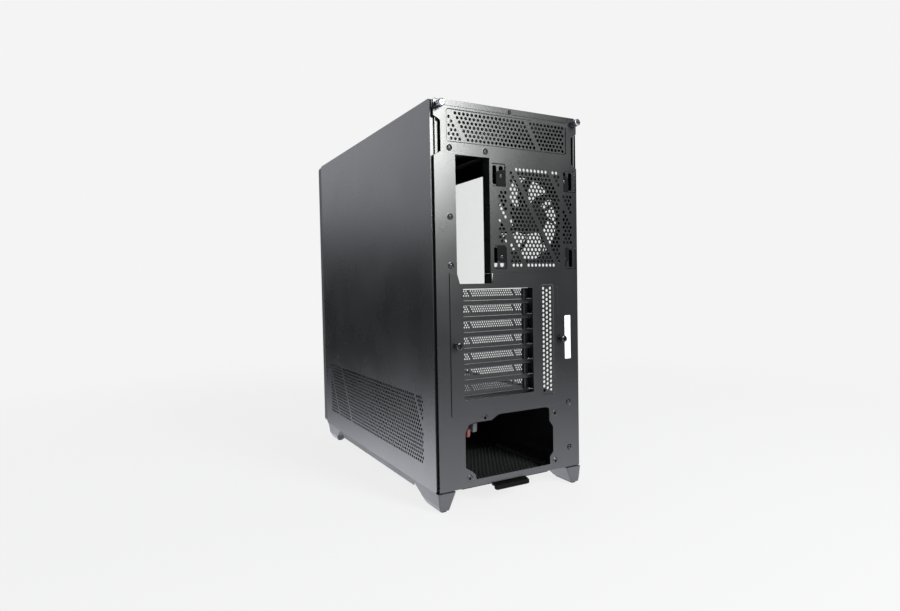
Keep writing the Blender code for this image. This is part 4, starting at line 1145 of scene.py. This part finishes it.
def smooth_route(points, count):
    """Evenly spread points on a smooth curve through a route's points."""
    points = [Vector(point) for point in points]
    points = [2 * points[0] - points[1], *points, 2 * points[-1] - points[-2]]
    spans = len(points) - 3
    made = []
    for step in range(count + 1):
        along = min(step / count * spans, spans - 1e-6)
        i = int(along)
        t = along - i
        a, b, c, d = points[i:i + 4]
        bend, twist = 2 * a - 5 * b + 4 * c - d, 3 * b - a - 3 * c + d
        made.append(0.5 * (2 * b + (c - a) * t + bend * t * t + twist * t ** 3))
    return made


# %% Leads
for label, (radius, material, slot, route) in LEADS.items():
    line = smooth_route(route, 44)
    curve = bpy.data.curves.new(label + "_lead", "CURVE")
    curve.dimensions = "3D"
    curve.bevel_depth = radius
    curve.bevel_resolution = 3
    curve.use_fill_caps = True
    spline = curve.splines.new("POLY")
    spline.points.add(len(line) - 1)
    for target, point in zip(spline.points, line):
        target.co = (*point, 1.0)
    curve.materials.append(material)
    lead = linked(label + "_lead", curve)
    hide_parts(label + "_cable")
    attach(lead, "chassis")

# %% [markdown]
# ## Glass side
#
# The other side is a pane of tempered glass on a steel frame. Its edge is printed black from the
# inside, to hide the frame, and the glass itself is very slightly green.

# %% Glass
glass = bpy.data.materials.new("clear_glass")
glass.use_nodes = True
pane = glass.node_tree.nodes["Principled BSDF"]
pane.inputs["Base Color"].default_value = (0.955, 0.985, 0.965, 1)
pane.inputs["Roughness"].default_value = 0.0
pane.inputs["Transmission Weight"].default_value = 1.0
pane.inputs["IOR"].default_value = 1.45
nodes["glass_pane"].data.materials.clear()
nodes["glass_pane"].data.materials.append(glass)
pane_low, pane_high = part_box("glass_pane")
print("glass in", nodes["glass_pane"].name)

# %% Printed border
PRINT = 0.0001                 # thickness, and its gap from the glass
print_face = pane_high.x + PRINT
outer = rounded(pane_low.y + 0.002, pane_low.z + 0.002, pane_high.y - 0.002, pane_high.z - 0.002, 0.004)
clear_part = rounded(pane_low.y + 0.030, 0.1230, pane_high.y - 0.026, 0.4755, 0.006)
border = cut(prism("x", outer, print_face, print_face + PRINT), opening("x", clear_part, print_face))
black_print = finish("black_print", (0.006, 0.006, 0.006), 0.35, grain=2600.0, bump=0.03)
piece("glass_print", border, black_print, "glass_panel")

# %% [markdown]
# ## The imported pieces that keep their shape
#
# The inner walls, the drive parts, the port block and the feet are already right as packed. They
# only need their finish.

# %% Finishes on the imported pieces
KEPT = {
    "glass_frame": powder_coat, "top_frame": roof_and_shade_coat, "front_frame": inner_coat, "motherboard_tray": inner_coat,
    "psu_shroud": shroud_coat, "front_cover": moulded, "drive_cage": inner_coat, "drive_tray_lower": moulded,
    "drive_tray_upper": moulded, "ssd_bracket_lower": inner_coat, "ssd_bracket_upper": inner_coat,
    "port_housing": moulded, "port_board": board_green, "power_button": moulded, "reset_button": moulded,
    "front_filter": nylon, "top_filter": nylon, "psu_pad_left": rubber, "psu_pad_right": rubber,
    "panel_plug": red_sleeve, "usb_plug": grey_sleeve, "top_cover_screw": black_zinc,
}
for end in ("front", "rear"):
    for hand in ("left", "right"):
        KEPT[f"foot_{end}_{hand}"] = foot_grey
        KEPT[f"foot_{end}_{hand}_pad"] = rubber
for label, material in KEPT.items():
    nodes[label].data.materials.clear()
    nodes[label].data.materials.append(material)
print("packed pieces given a finish:", len(KEPT))
